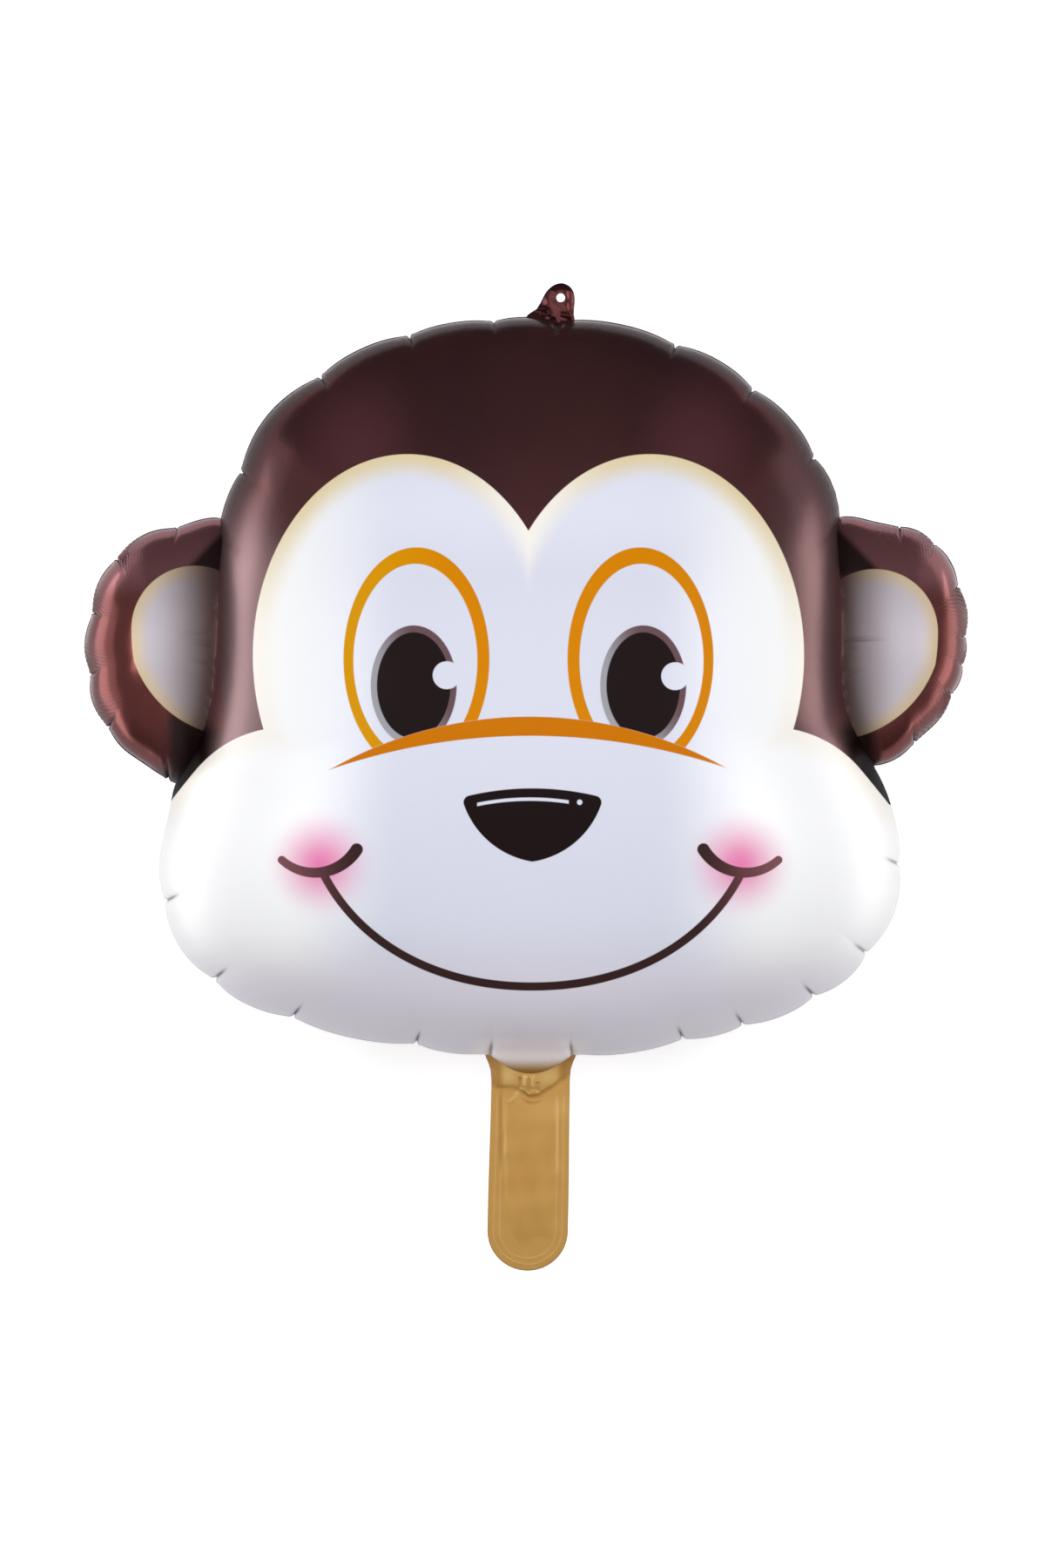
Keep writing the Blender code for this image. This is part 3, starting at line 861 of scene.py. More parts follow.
def make_tab(materials):
    """The flat hanging tab at the crown, with its punched hole."""
    count, rings = TAB_STEPS, TAB_RINGS
    edge = closed_curve(TAB_EDGE, count)
    first = math.atan2(edge[0, 1] - TAB_EYE[1], edge[0, 0] - TAB_EYE[0])
    turn = first + math.tau * np.arange(count) / count
    hole = TAB_EYE + TAB_HOLE_RADIUS * np.column_stack([np.cos(turn), np.sin(turn)])
    share = (np.linspace(0, 1, rings) ** TAB_CROWDING)[:, None, None]
    plan = hole[None] * (1 - share) + edge[None] * share
    sheets = []
    for side in (1, -1):
        z = tab_height(plan[..., 0], plan[..., 1]) + side * FILM_HALF
        sheets.append(np.dstack([plan, SEAM_HEIGHT + z]).reshape(-1, 3))
    upper = grid_faces(rings, count, True)
    lower = grid_faces(rings, count, False) + rings * count
    walls = []
    for ring, flip in ((0, False), (rings - 1, True)):
        for i in range(count):
            j = (i + 1) % count
            a, b = ring * count + i, ring * count + j
            wall = (a, a + rings * count, b + rings * count, b)
            walls.append(wall[::-1] if flip else wall)
    faces = [*upper.tolist(), *lower.tolist(), *walls]
    tab = new_piece("hanging_tab", np.concatenate(sheets), faces, materials)
    # Painted shade: darker towards the edge, most on the left, round the hole and at the top
    outward = np.broadcast_to(share[..., 0], plan.shape[:2])
    left = ramp(plan[..., 0], *PAINTED_SHADE_LEFT)
    painted_shading = ramp(outward, *PAINTED_SHADE_EDGE) * (0.35 + 0.65 * left) + 0.5 * ramp(outward, *PAINTED_SHADE_HOLE)
    painted_shading = np.maximum(painted_shading, 0.55 * ramp(plan[..., 1], *PAINTED_SHADE_TOP)).ravel()
    keep_number(tab, "painted_shading", np.concatenate([painted_shading, painted_shading]))
    mend(tab)
    return tab


def ink(red, green, blue):
    """A colour named in 0 to 255 as the linear colour that a shader takes."""

    def linear(value):
        share = value / 255
        return share / 12.92 if share <= 0.04045 else ((share + 0.055) / 1.055) ** 2.4

    return (linear(red), linear(green), linear(blue), 1.0)


def plug(tree, item, slot):
    """Gives a slot the number, the colour or the other node's output that feeds it."""
    if isinstance(item, Value):
        item = item.socket
    if isinstance(item, bpy.types.NodeSocket):
        tree.links.new(item, slot)
    else:
        slot.default_value = item


def add_node(tree, kind, inputs, **settings):
    """The outputs of a new shader node."""
    node = tree.nodes.new("ShaderNode" + kind)
    for name, setting in settings.items():
        setattr(node, name, setting)
    for slot, item in inputs.items():
        plug(tree, item, node.inputs[slot])
    return node.outputs


class Value:
    """A number that varies over a surface: arithmetic on it adds the shader's Math nodes."""

    def __init__(self, tree, socket):
        self.tree = tree
        self.socket = socket

    def maths(self, operation, *others, clamp=False):
        inputs = dict(enumerate((self, *others)))
        out = add_node(self.tree, "Math", inputs, operation=operation, use_clamp=clamp)
        return Value(self.tree, out[0])

    __add__ = partialmethod(maths, "ADD")
    __sub__ = partialmethod(maths, "SUBTRACT")
    __mul__ = partialmethod(maths, "MULTIPLY")
    __truediv__ = partialmethod(maths, "DIVIDE")
    __neg__ = partialmethod(maths, "MULTIPLY", -1.0)
    __abs__ = partialmethod(maths, "ABSOLUTE")
    power = partialmethod(maths, "POWER")
    root = partialmethod(maths, "SQRT")

    def least(self, *others):
        found = self
        for other in others:
            found = found.maths("MINIMUM", other)
        return found

    def most(self, *others):
        found = self
        for other in others:
            found = found.maths("MAXIMUM", other)
        return found

    def cover(self, soft=0.0003):
        """1 where this distance is inside a shape, 0 outside, with a soft edge."""
        return self.maths("MULTIPLY_ADD", -0.5 / soft, 0.5, clamp=True)

    def fade(self, start, end):
        """0 at start to 1 at end, flat at both."""
        inputs = {"From Min": start, "From Max": end, "Value": self}
        out = add_node(self.tree, "MapRange", inputs, interpolation_type="SMOOTHSTEP")
        return Value(self.tree, out["Result"])


def distance(x, y):
    return (x * x + y * y).root()


def circle(x, y, centre, radius):
    """Distance outside a circle, in metres."""
    return distance(x - centre[0], y - centre[1]) - radius


def oval(x, y, centre, radii):
    """Distance outside an ellipse, nearly."""
    across, up = radii
    u, v = (x - centre[0]) / across, (y - centre[1]) / up
    level = distance(u, v)
    return level * (level - 1.0) / distance(u / across, v / up)


class Finish:
    """A material that is built up in layers of print over foil."""

    def __init__(self, name, colour, metallic, roughness):
        self.material = bpy.data.materials.new(name)
        self.material.use_nodes = True
        self.tree = self.material.node_tree
        self.shader = self.tree.nodes["Principled BSDF"]
        self.now = {"Base Color": colour, "Metallic": metallic, "Roughness": roughness}
        self.coordinates = add_node(self.tree, "TexCoord", {})["Object"]

    def fix(self, name, value):
        """Feeds one of the finish's own inputs."""
        plug(self.tree, value, self.shader.inputs[name])

    def place(self):
        """The object's own x, y and z at each point of the surface."""
        split = add_node(self.tree, "SeparateXYZ", {0: self.coordinates})
        return [Value(self.tree, split[i]) for i in range(3)]

    def number(self, name):
        """The number that the piece keeps for each of its points."""
        return Value(self.tree, add_node(self.tree, "Attribute", {}, attribute_name=name)["Fac"])

    def noise(self, scale, detail=2.0, stretch=(1.0, 1.0, 1.0)):
        mapping = add_node(self.tree, "Mapping", {"Scale": stretch, "Vector": self.coordinates})
        inputs = {"Vector": mapping["Vector"], "Scale": scale, "Detail": detail}
        return Value(self.tree, add_node(self.tree, "TexNoise", inputs)["Fac"])

    def mixed(self, kind, factor, below, above):
        first, second, out = {"RGBA": (6, 7, 2), "FLOAT": (2, 3, 0)}[kind]
        inputs = {0: factor, first: below, second: above}
        return add_node(self.tree, "Mix", inputs, data_type=kind)[out]

    def lay(self, mask, colour=None, metallic=None, roughness=None):
        """Prints a layer where the mask is 1."""
        layer = {"Base Color": colour, "Metallic": metallic, "Roughness": roughness}
        for name, value in layer.items():
            if value is not None:
                kind = "RGBA" if name == "Base Color" else "FLOAT"
                self.now[name] = self.mixed(kind, mask, self.now[name], value)

    def blend(self, mask, below, above):
        return self.mixed("RGBA", mask, below, above)

    def bump(self, height, strength, depth):
        inputs = {"Strength": strength, "Distance": depth, "Height": height}
        self.fix("Normal", add_node(self.tree, "Bump", inputs)["Normal"])

    def done(self):
        for name, value in self.now.items():
            self.fix(name, value)
        return self.material


# Inks and foils, and the painted light and shade laid over them
BROWN_INK = (0.098, 0.036, 0.035, 1.0)
# Painted reflections: the foil's sides lighter, the left more than the right, and darker towards the top
BROWN_LEFT_REFLECTION = (0.172, 0.110, 0.112, 1.0)
BROWN_RIGHT_REFLECTION = (0.140, 0.080, 0.080, 1.0)
BROWN_UPPER_REFLECTION = (0.092, 0.050, 0.051, 1.0)
# A painted reflection of the ear on the head beside it
BROWN_EAR_REFLECTION = (0.205, 0.092, 0.088, 1.0)
BROWN_DEEP = (0.075, 0.029, 0.032, 1.0)
# A painted sheen on the forehead
BROWN_PAINTED_SHEEN = (0.170, 0.058, 0.068, 1.0)
BROWN_EDGE = (0.21, 0.18, 0.19, 1.0)
EAR_BROWN = (0.130, 0.036, 0.032, 1.0)
EAR_EDGE = (0.55, 0.51, 0.53, 1.0)
# A painted reflection that lightens the top of an ear
EAR_TOP_REFLECTION = (0.210, 0.085, 0.090, 1.0)
TAB_BROWN = (0.076, 0.020, 0.018, 1.0)
# Painted shade in the wedge at each ear's foot
WEDGE_SHADE_INK = (0.005, 0.003, 0.003, 1.0)
# Painted shade in the puckers' folds
FOLD_SHADE_INK = (0.022, 0.015, 0.016, 1.0)
WHITE_INK = ink(206, 207, 219)
# Painted light on the white: towards the top, at the sides, on the chin and beside the neck
UPPER_WHITE_PAINTED_LIGHT = ink(219, 220, 232)
SIDE_WHITE_PAINTED_LIGHT = ink(240, 239, 238)
CHIN_PAINTED_LIGHT = ink(219, 213, 221)
NECK_PAINTED_LIGHT = ink(248, 240, 240)
CREAM_INK = ink(222, 205, 166)
PALE_CREAM_INK = ink(238, 233, 223)
# Painted deep shade in the hollows by the ears and on the tab
DEEP_SHADE_INK = (0.016, 0.006, 0.006, 1.0)
EAR_INK = ink(186, 178, 184)
# Painted shade on an ear's patch towards the crease
EAR_SHADE_INK = ink(76, 58, 54)
EAR_RIM_INK = ink(200, 178, 146)
ORANGE_INK = ink(203, 124, 1)
YELLOW_INK = ink(205, 141, 0)
BRIDGE_INK = ink(193, 110, 4)
PUPIL_INK = ink(30, 21, 21)
IRIS_GREY = ink(152, 150, 156)
IRIS_MAUVE = ink(98, 74, 78)
NOSE_INK = ink(28, 19, 19)
SMILE_INK = ink(54, 35, 34)
SMILE_SIDE_INK = ink(128, 80, 86)
BLUSH_INK = ink(222, 116, 166)
GOLD_FOIL = ink(179, 134, 60)
GOLD_PATCH = ink(176, 128, 50)
# Painted light and painted shade on the tail
GOLD_PAINTED_LIGHT = ink(222, 184, 116)
GOLD_PAINTED_SHADE = ink(134, 88, 30)

# Where the print and the painted light and shade lie, in metres, mirrored about FACE_MIDDLE; a pair
# that ends in FADE or FADES is where a mask is 0 and where it is 1
FACE_MIDDLE = -0.0025
REFLECTION_ACROSS_FADE = (-0.10, 0.10)
REFLECTION_UPPER_FADE = (0.085, 0.150)
SIDE_REFLECTION_FADE = (0.150, 0.195)
EAR_LEVEL = 0.040
EAR_REFLECTION_FADES = ((0.203, 0.212), (0.064, 0.050))
SHEEN_CENTRE = (0.118, 0.180)
SHEEN_SQUASH = 0.8
SHEEN_FADE = (0.052, 0.004)
HOLLOW_SHADE_FADES = ((0.205, 0.222), (0.046, 0.060), (0.104, 0.094))
WEDGE_SHADE_FADES = ((0.220, 0.228), (-0.026, -0.040))
EYE_PATCH = ((0.0821, 0.0336), (0.1042, 0.1356))
JAW = ((0.1630, -0.0970), 0.0820)
PAPER_MIDDLE = (0.150, 0.035)
PAPER_LOW = -0.0675
CHEEK_CORNER = (0.2332, -0.0530)
CHEEK_SLOPE = (0.766, 0.643)
CHEEK_TOP = -0.045
UPPER_WHITE_FADE = (0.080, 0.140)
SIDE_WHITE_FADE = (0.085, 0.170)
CHIN_FADE = (-0.150, -0.205)
NECK_FADES = ((-0.222, -0.236), (0.046, 0.024))
CREAM_FADES = ((0.030, 0.145), (0.008, 0.064))
CREAM_EDGE_FADE = (0.001, 0.019)
EYE = ((0.0755, 0.0307), (0.0492, 0.0753))
EYE_HOLLOW = ((0.0762, 0.0297), (0.0418, 0.0652))
YELLOW_FADE = (-0.118, -0.040)
IRIS_CENTRE = (0.0773, 0.0129)
IRIS_RADII = (0.0290, 0.0405)
IRIS_FADE = (-0.024, 0.020)
PUPIL_RADII = (0.0248, 0.0358)
LIGHT_CENTRES = ((-0.0576, 0.0198), (0.0963, 0.0192))
LIGHT_RADIUS = 0.00945
MUZZLE = ((-0.0018, -0.2806), 0.2725)
BRIDGE = ((-0.0010, -0.4352), 0.4142)
NOSE_MIDDLE = 0.00025
NOSE_TOP = ((0.0, -0.2433), 0.1870)
NOSE_SIDE = ((-0.00875, -0.0482), 0.0582)
NOSE_CORNER = 0.0050
SHINE = ((-0.0015, -0.2417), 0.1781)
SHINE_SPAN = (-0.0370, 0.0246)
SHINE_HALF = 0.0011
SHINE_LOW = -0.15
SHINE_DOT = ((0.0320, -0.0657), 0.0018)
SMILE_CENTRE = (0.0, -0.0560)
SMILE_RADII = (0.1540, 0.1342)
SMILE_POWER = 2.1
SMILE_HALF = 0.00285
SMILE_TOP = -0.1150
SMILE_FADE = (0.112, 0.185)
DIMPLE_MIDDLE = -0.0014
DIMPLE_CENTRE = (0.1453, -0.0798)
DIMPLE_RADIUS = 0.0334
DIMPLE_TURN = math.radians(-98)
DIMPLE_SPREAD = math.radians(50)
DIMPLE_HALF = 0.0034
DIMPLE_TAPER = 0.0007
BLUSH_CENTRE = (0.1417, -0.1075)
BLUSH_MIDDLE = -0.0013
BLUSH_FADE = (0.0405, -0.002)
GOLD_FADE = (-0.2380, -0.2500)
EAR_TOP_FADE = (0.070, 0.092)
EAR_HOLLOW_SHADE = (0.0940, 0.95)
EAR_HOLLOW_SHADE_FADE = (0.240, 0.229)
EAR_FOOT_SHADE_SHIFT = 0.014
EAR_FOOT_SHADE_FADES = ((0.255, 0.241), (0.010, -0.012))
EAR_TIP_SHADE_FADE = (-0.038, -0.048)
EAR_PATCH_CENTRE = (0.2290, 0.0520)
EAR_PATCH_RADIUS = 0.0427
EAR_PATCH_DROP = -0.55
EAR_PATCH_SIDE = ((0.1979, 0.0547), 0.0762)
EAR_PATCH_SHIFT = (0.0036, -0.0023)
EAR_RIM_FADE = (0.0, 0.013)
EAR_SHADE_SHIFT = 0.007
EAR_SHADE_FADE = (0.262, 0.216)

# How rough the printed inks, the white paper and a fold's painted shade are, and how strong a fold's
# painted shade is
INK_ROUGHNESS = 0.35
DARK_ROUGHNESS = 0.33
PAPER_ROUGHNESS = 0.42
FOLD_ROUGHNESS = 0.9
FOLD_SHADE_STRENGTH = 0.85


def film_bump(finish):
    """The faint unevenness of stretched film."""
    fine = finish.noise(260.0, 2.0, (1.0, 0.6, 1.0))
    finish.bump(finish.noise(34.0) + fine * 0.12, 0.5, 0.0006)


def brown_film(name, colour=BROWN_INK, edge=BROWN_EDGE, gloss=0.15):
    finish = Finish(name, colour, 0.65, 0.19)
    finish.fix("Specular IOR Level", gloss)
    finish.fix("Specular Tint", edge)
    finish.lay(finish.noise(9.0, 3.0, (1.0, 0.6, 1.0)).fade(0.35, 0.75), BROWN_DEEP, None, 0.22)
    film_bump(finish)
    return finish


def tab_film():
    finish = brown_film("tab_foil", TAB_BROWN)
    # Painted shade that the tab keeps for each point
    finish.lay(finish.number("painted_shading"), DEEP_SHADE_INK)
    return finish.done()


def lay_fold_shade(finish):
    """Painted shade: dark lines in the puckers and between the gathers."""
    finish.lay(finish.number("fold") * FOLD_SHADE_STRENGTH, FOLD_SHADE_INK, 0.0, FOLD_ROUGHNESS)


def lay_brown_light_and_shade(finish, x, y, side):
    """Painted reflections that make the foil's sides lighter and lighter still beside the ears, a painted
    sheen on the forehead, and painted shade in the dark places beside the ears.
    """
    # Painted reflections: the sides lighter, darker towards the top
    brown = finish.blend(x.fade(*REFLECTION_ACROSS_FADE), BROWN_LEFT_REFLECTION, BROWN_RIGHT_REFLECTION)
    brown = finish.blend(y.fade(*REFLECTION_UPPER_FADE), brown, BROWN_UPPER_REFLECTION)
    finish.lay(side.fade(*SIDE_REFLECTION_FADE), brown, None, 0.30)
    off = abs(y - EAR_LEVEL)
    # A painted reflection of the ear beside each ear
    finish.lay(side.fade(*EAR_REFLECTION_FADES[0]) * off.fade(*EAR_REFLECTION_FADES[1]), BROWN_EAR_REFLECTION)
    # A painted sheen on the forehead
    sheen = distance(side - SHEEN_CENTRE[0], (y - SHEEN_CENTRE[1]) * SHEEN_SQUASH)
    finish.lay(sheen.fade(*SHEEN_FADE) * 0.8, BROWN_PAINTED_SHEEN)
    # Painted shade in the hollows beside each ear and in the wedge at its foot
    hollow = side.fade(*HOLLOW_SHADE_FADES[0]) * off.fade(*HOLLOW_SHADE_FADES[1]) * y.fade(*HOLLOW_SHADE_FADES[2])
    finish.lay(hollow, DEEP_SHADE_INK)
    finish.lay(side.fade(*WEDGE_SHADE_FADES[0]) * y.fade(*WEDGE_SHADE_FADES[1]), WEDGE_SHADE_INK, 0.0, 0.8)


def lay_paper(finish, x, y, side):
    """The white eye patches and muzzle with their cream edge, and the blush on the cheeks; the white has
    painted light, lighter towards the top, at the sides, on the chin and beside the neck.
    """
    patch = oval(side, y, *EYE_PATCH)
    middle = (y - PAPER_MIDDLE[1]).most(side - PAPER_MIDDLE[0])
    slope = (side - CHEEK_CORNER[0]) * CHEEK_SLOPE[0] + (y - CHEEK_CORNER[1]) * CHEEK_SLOPE[1]
    face = patch.least(circle(side, y, *JAW), y - PAPER_LOW, middle, slope.most(y - CHEEK_TOP))
    # Painted light: the white lighter towards the top, at the sides, on the chin and beside the neck
    white = finish.blend(y.fade(*UPPER_WHITE_FADE), WHITE_INK, UPPER_WHITE_PAINTED_LIGHT)
    white = finish.blend(side.fade(*SIDE_WHITE_FADE), white, SIDE_WHITE_PAINTED_LIGHT)
    white = finish.blend(y.fade(*CHIN_FADE), white, CHIN_PAINTED_LIGHT)
    neck = y.fade(*NECK_FADES[0]) * side.fade(*NECK_FADES[1])
    white = finish.blend(neck, white, NECK_PAINTED_LIGHT)
    yellow = y.fade(*CREAM_FADES[0]) * side.fade(*CREAM_FADES[1])
    cream = finish.blend(yellow, PALE_CREAM_INK, CREAM_INK)
    paper = finish.blend((-face).fade(*CREAM_EDGE_FADE), cream, white)
    finish.lay(face.cover(), paper, 0.08, PAPER_ROUGHNESS)
    blush = distance(abs(x - BLUSH_MIDDLE) - BLUSH_CENTRE[0], y - BLUSH_CENTRE[1])
    finish.lay(blush.fade(*BLUSH_FADE) * 0.97, BLUSH_INK)


def lay_eyes(finish, x, y, side):
    """The orange rings, the irises with their lights, and the line over the muzzle."""
    muzzle = circle(x, y, *MUZZLE)
    eye = oval(side, y, *EYE)
    hollow = oval(side, y, *EYE_HOLLOW)
    above = -muzzle
    orange = finish.blend(x.fade(*YELLOW_FADE), YELLOW_INK, ORANGE_INK)
    finish.lay(eye.most(-hollow, above).cover(), orange, 0.0, INK_ROUGHNESS)
    iris = oval(side, y, IRIS_CENTRE, IRIS_RADII).most(above)
    pupil = oval(side, y, IRIS_CENTRE, PUPIL_RADII).most(above)
    lights = [circle(x, y, centre, LIGHT_RADIUS) for centre in LIGHT_CENTRES]
    light = lights[0].least(lights[1])
    left_iris = x + (IRIS_CENTRE[0] - FACE_MIDDLE)
    right_iris = x - (IRIS_CENTRE[0] + FACE_MIDDLE)
    across = x.maths("GREATER_THAN", FACE_MIDDLE)
    offset = Value(finish.tree, finish.mixed("FLOAT", across, left_iris, right_iris))
    toned = (offset + (y - IRIS_CENTRE[1]) * 0.5).fade(*IRIS_FADE)
    ring = finish.blend(toned, IRIS_GREY, IRIS_MAUVE)
    finish.lay(iris.most(-light).cover(), ring, 0.0, INK_ROUGHNESS)
    finish.lay(pupil.most(-light).cover(), PUPIL_INK, 0.0, DARK_ROUGHNESS)
    bridge = muzzle.most(-circle(x, y, *BRIDGE))
    finish.lay(bridge.cover(), BRIDGE_INK, 0.0, INK_ROUGHNESS)


def lay_nose(finish, x, y):
    """The nose, a triangle with round sides and corners, and the shine along its top."""
    edges = [circle(abs(x - NOSE_MIDDLE), y, *NOSE_SIDE), circle(x, y, *NOSE_TOP)]
    lines = [edge + NOSE_CORNER for edge in edges]
    corner = distance(lines[0].most(0.0), lines[1].most(0.0))
    nose = corner + lines[0].most(lines[1]).least(0.0) - NOSE_CORNER
    finish.lay(nose.cover(), NOSE_INK, 0.0, DARK_ROUGHNESS)
    shine = abs(circle(x, y, *SHINE)) - SHINE_HALF
    ends = abs(x - (SHINE_SPAN[0] + SHINE_SPAN[1]) / 2) - (SHINE_SPAN[1] - SHINE_SPAN[0]) / 2
    shine = shine.most(ends, -(y - SHINE_LOW)).least(circle(x, y, *SHINE_DOT))
    finish.lay(shine.cover(), WHITE_INK)


def lay_smile(finish, x, y, side):
    """The smile, a stroke along the low part of a fat oval, and the dimple at each end."""
    u = abs(x - SMILE_CENTRE[0]) / SMILE_RADII[0]
    v = abs(y - SMILE_CENTRE[1]) / SMILE_RADII[1]
    level = (u.power(SMILE_POWER) + v.power(SMILE_POWER)).power(1 / SMILE_POWER)
    slope = distance(
        u.power(SMILE_POWER - 1) / SMILE_RADII[0],
        v.power(SMILE_POWER - 1) / SMILE_RADII[1],
    ) * level.power(1 - SMILE_POWER)
    smile = (abs((level - 1.0) / slope) - SMILE_HALF).most(y - SMILE_TOP)
    px = abs(x - DIMPLE_MIDDLE) - DIMPLE_CENTRE[0]
    py = y - DIMPLE_CENTRE[1]
    along_x, along_y = math.cos(DIMPLE_TURN), math.sin(DIMPLE_TURN)
    ahead = px * along_x + py * along_y
    aside = abs(px * along_y - py * along_x)
    reach_x, reach_y = math.sin(DIMPLE_SPREAD), math.cos(DIMPLE_SPREAD)
    half = px * (-DIMPLE_TAPER / (DIMPLE_RADIUS * reach_x)) + DIMPLE_HALF
    arc = abs(distance(px, py) - DIMPLE_RADIUS) - half
    arc = arc.most(aside * reach_y - ahead * reach_x)
    cap = distance(aside - DIMPLE_RADIUS * reach_x, ahead - DIMPLE_RADIUS * reach_y) - half
    stroke = finish.blend(side.fade(*SMILE_FADE), SMILE_INK, SMILE_SIDE_INK)
    finish.lay(smile.least(arc, cap).cover(), stroke, 0.0, INK_ROUGHNESS)


def face_print():
    """The printed front of the head: a smiling monkey's face on brown foil."""
    finish = brown_film("printed_face")
    x, y, _ = finish.place()
    side = abs(x - FACE_MIDDLE)
    lay_brown_light_and_shade(finish, x, y, side)
    lay_paper(finish, x, y, side)
    lay_eyes(finish, x, y, side)
    lay_nose(finish, x, y)
    lay_smile(finish, x, y, side)
    finish.lay(y.fade(*GOLD_FADE), GOLD_FOIL, 0.30, 0.40)
    lay_fold_shade(finish)
    return finish.done()


def ear_print():
    """The printed front of an ear: a cream patch on brown foil, with a painted reflection that lightens
    its top, painted shade in its hollow, at its foot and low tip, and painted shade on the patch towards
    the crease.
    """
    finish = brown_film("printed_ear", EAR_BROWN, EAR_EDGE, 0.30)
    x, y, _ = finish.place()
    side = abs(x)
    right = x.maths("GREATER_THAN", 0.0)
    # A painted reflection lightens the ear's top
    finish.lay(y.fade(*EAR_TOP_FADE), EAR_TOP_REFLECTION)
    # Painted shade in the hollow at the top, at the foot and at the low tip
    slant = side + (y - EAR_HOLLOW_SHADE[0]) * EAR_HOLLOW_SHADE[1]
    hollow = slant.fade(*EAR_HOLLOW_SHADE_FADE) * y.fade(*EAR_TOP_FADE)
    foot = (side + right * EAR_FOOT_SHADE_SHIFT).fade(*EAR_FOOT_SHADE_FADES[0]) * y.fade(*EAR_FOOT_SHADE_FADES[1])
    finish.lay(hollow.most(foot, y.fade(*EAR_TIP_SHADE_FADE)), DEEP_SHADE_INK, 0.3, 0.5)
    across = side - right * EAR_PATCH_SHIFT[0]
    up = y - right * EAR_PATCH_SHIFT[1]
    top = up - EAR_PATCH_CENTRE[1]
    patch = distance(across - EAR_PATCH_CENTRE[0], top.most(top * EAR_PATCH_DROP)) - EAR_PATCH_RADIUS
    patch = patch.most(circle(across, up, *EAR_PATCH_SIDE))
    paper = finish.blend((-patch).fade(*EAR_RIM_FADE), EAR_RIM_INK, EAR_INK)
    # Painted shade on the patch towards the crease
    shade = (side + right * EAR_SHADE_SHIFT).fade(*EAR_SHADE_FADE)
    paper = finish.blend(shade, paper, EAR_SHADE_INK)
    finish.lay(patch.cover(), paper, 0.15, PAPER_ROUGHNESS)
    lay_fold_shade(finish)
    return finish.done()


def gold_film():
    finish = Finish("gold_foil", GOLD_FOIL, 0.30, 0.42)
    finish.lay(finish.noise(40.0, 3.0).fade(0.4, 0.75), GOLD_PATCH)
    # Painted highlights and painted shade that the tail keeps for each point
    painted_shading = finish.number("painted_shading")
    finish.lay(painted_shading.maths("MULTIPLY", 1.0, clamp=True), GOLD_PAINTED_LIGHT)
    finish.lay(painted_shading.maths("MULTIPLY", -1.0, clamp=True), GOLD_PAINTED_SHADE)
    film_bump(finish)
    return finish.done()


# The light table under the balloon, and the cards beyond its crown and its chin
FLOOR_GLOW = 0.56
CROWN_CARD = ((0.0, 0.40, 0.40), (0.90, 0.80))
CHIN_CARD = ((0.0, -0.64, 0.30), (1.6, 0.60))
CARD_FOOT = (0.02, 0.02, 0.02, 1.0)
CARD_HEAD = (0.40, 0.41, 0.43, 1.0)
CARD_FADE = (-0.40, 0.50)
AIR_COLOUR = (0.92, 0.95, 1.0, 1.0)
AIR_BRIGHTNESS = 0.50
# Strips of light that only the foil mirrors: name, side, near and far end as (x, z), the
# middle's y, length and brightness
FLOOR_STRIPS = (
    ("strip_left", -1, (0.56, 0.0), (1.00, 0.14), -0.03, 0.84, 3.8),
    ("strip_left_upper", -1, (1.01, 0.145), (1.16, 0.47), -0.08, 1.00, 1.6),
    ("strip_right", 1, (0.58, 0.0), (1.04, 0.20), -0.07, 0.74, 3.0),
    ("strip_right_upper", 1, (1.05, 0.205), (1.15, 0.42), -0.12, 0.84, 0.8),
)
# Softboxes: name, degrees off the camera's line, azimuth, distance, size and brightness
SIDE_LIGHTS = (
    ("left", 36.0, 180.0, 1.9, (1.2, 0.45), 5.6),
    ("right", 36.0, 0.0, 1.9, (1.2, 0.45), 5.6),
    ("crown", 42.0, 90.0, 2.2, (2.4, 0.9), 0.45),
    ("low", 50.0, -90.0, 1.8, (1.6, 0.8), 1.4),
    ("above", 5.0, 90.0, 2.6, (1.1, 1.1), 2.3),
)


def make_floor():
    bpy.ops.mesh.primitive_plane_add(size=30.0)
    floor = bpy.context.object
    floor.name = "studio_floor"
    finish = Finish("lit_floor", (0.90, 0.90, 0.90, 1.0), 0.0, 0.85)
    finish.lay(finish.noise(5.0, 3.0), (0.92, 0.92, 0.92, 1.0))
    finish.fix("Emission Color", (1.0, 1.0, 1.0, 1.0))
    finish.fix("Emission Strength", FLOOR_GLOW)
    floor.data.materials.append(finish.done())


def make_card(name, middle, size, blocks):
    """A dark card that stands out of the picture, where the film mirrors it."""
    bpy.ops.mesh.primitive_plane_add(size=1.0, location=middle, rotation=(math.pi / 2, 0, 0))
    card = bpy.context.object
    card.name = name
    card.scale = (*size, 1.0)
    finish = Finish(name, CARD_FOOT, 0.0, 1.0)
    finish.fix("Specular IOR Level", 0.0)
    finish.lay(finish.place()[1].fade(*CARD_FADE), CARD_HEAD)
    card.data.materials.append(finish.done())
    card.visible_camera = False
    card.visible_diffuse = blocks
    card.visible_shadow = blocks


def add_softbox(name, place, facing, size, brightness):
    """A soft light of this brightness, where 1 is what a lit white paper sends out."""
    light = bpy.data.lights.new(name, "AREA")
    light.shape = "RECTANGLE"
    light.size, light.size_y = size
    light.energy = brightness * math.pi * size[0] * size[1]
    lamp = bpy.data.objects.new(name, light)
    bpy.context.scene.collection.objects.link(lamp)
    lamp.location = place
    lamp.rotation_euler = Vector(facing).to_track_quat("-Z", "Y").to_euler()
    lamp.visible_camera = False
    return lamp


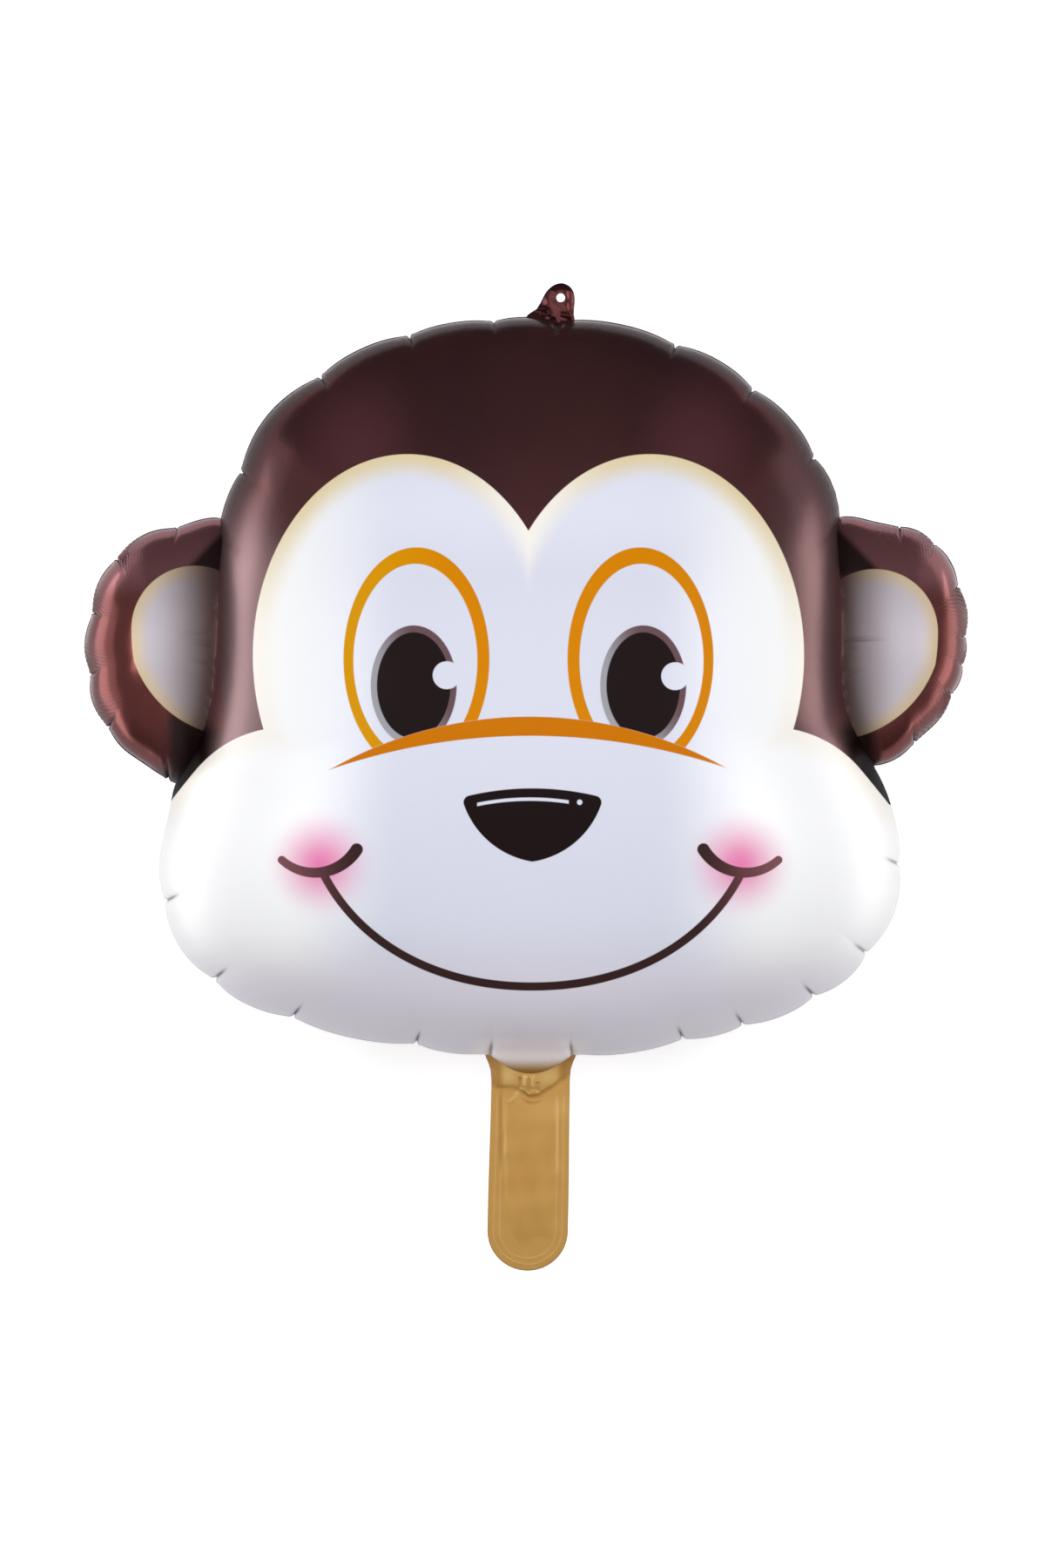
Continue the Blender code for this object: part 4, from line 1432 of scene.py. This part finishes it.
def add_side_light(name, tilt, azimuth, far, size, brightness):
    """A softbox that faces the balloon from this many degrees off the camera's line."""
    a, b = math.radians(tilt), math.radians(azimuth)
    direction = Vector((math.sin(a) * math.cos(b), math.sin(a) * math.sin(b), math.cos(a)))
    add_softbox(name, Vector((0.0, 0.0, 0.1)) + direction * far, -direction, size, brightness)


def add_floor_strip(name, side, near, far, middle, length, brightness):
    """A strip that only the foil mirrors, leaning outwards: near and far are (x, z)."""
    place = (side * (near[0] + far[0]) / 2, middle, (near[1] + far[1]) / 2)
    run = (far[0] - near[0], far[1] - near[1])
    strip = add_softbox(name, place, (-side * run[1], 0.0, run[0]), (length, math.hypot(*run)), brightness)
    strip.visible_diffuse = False


def make_lights():
    world = bpy.data.worlds.new("studio_air")
    bpy.context.scene.world = world
    world.use_nodes = True
    background = world.node_tree.nodes["Background"]
    background.inputs["Color"].default_value = AIR_COLOUR
    background.inputs["Strength"].default_value = AIR_BRIGHTNESS
    for strip in FLOOR_STRIPS:
        add_floor_strip(*strip)
    for softbox in SIDE_LIGHTS:
        add_side_light(*softbox)


# The picture: 1200 by 1800 pixels, with the seam's plane at 0.593 mm to a pixel
PICTURE_HEIGHT = 1800 * 0.000593
PICTURE_CENTRE = (-0.0065, -0.0534)
CAMERA_HEIGHT = 12.0
SENSOR_HEIGHT = 24.0


def make_camera():
    data = bpy.data.cameras.new("camera")
    data.sensor_fit = "VERTICAL"
    data.sensor_height = SENSOR_HEIGHT
    data.lens = SENSOR_HEIGHT * (CAMERA_HEIGHT - SEAM_HEIGHT) / PICTURE_HEIGHT
    data.clip_end = 50.0
    camera = bpy.data.objects.new("camera", data)
    camera.location = (*PICTURE_CENTRE, CAMERA_HEIGHT)
    bpy.context.scene.collection.objects.link(camera)
    bpy.context.scene.camera = camera
    bpy.context.scene.view_settings.view_transform = "Standard"


def dress(piece):
    """Says that a piece is part of the balloon and stands for the frame's solid."""
    piece.data.shade_smooth()
    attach(piece, "root")
    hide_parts("foil_envelope")


make_camera()
make_floor()
make_card("crown_card", *CROWN_CARD, False)
make_card("chin_card", *CHIN_CARD, True)
make_lights()

face = face_print()
ear = ear_print()
back = brown_film("brown_foil").done()
gold = gold_film()

envelope = make_envelope([face, ear, back])
weld = make_weld(envelope, [face])
lift(envelope)
tail = make_tail([gold])
tab = make_tab([tab_film()])
for piece in (envelope, weld, tail, tab):
    dress(piece)
for piece, angle in ((envelope, 48), (weld, 48), (tab, 60)):
    piece.data.set_sharp_from_angle(angle=math.radians(angle))
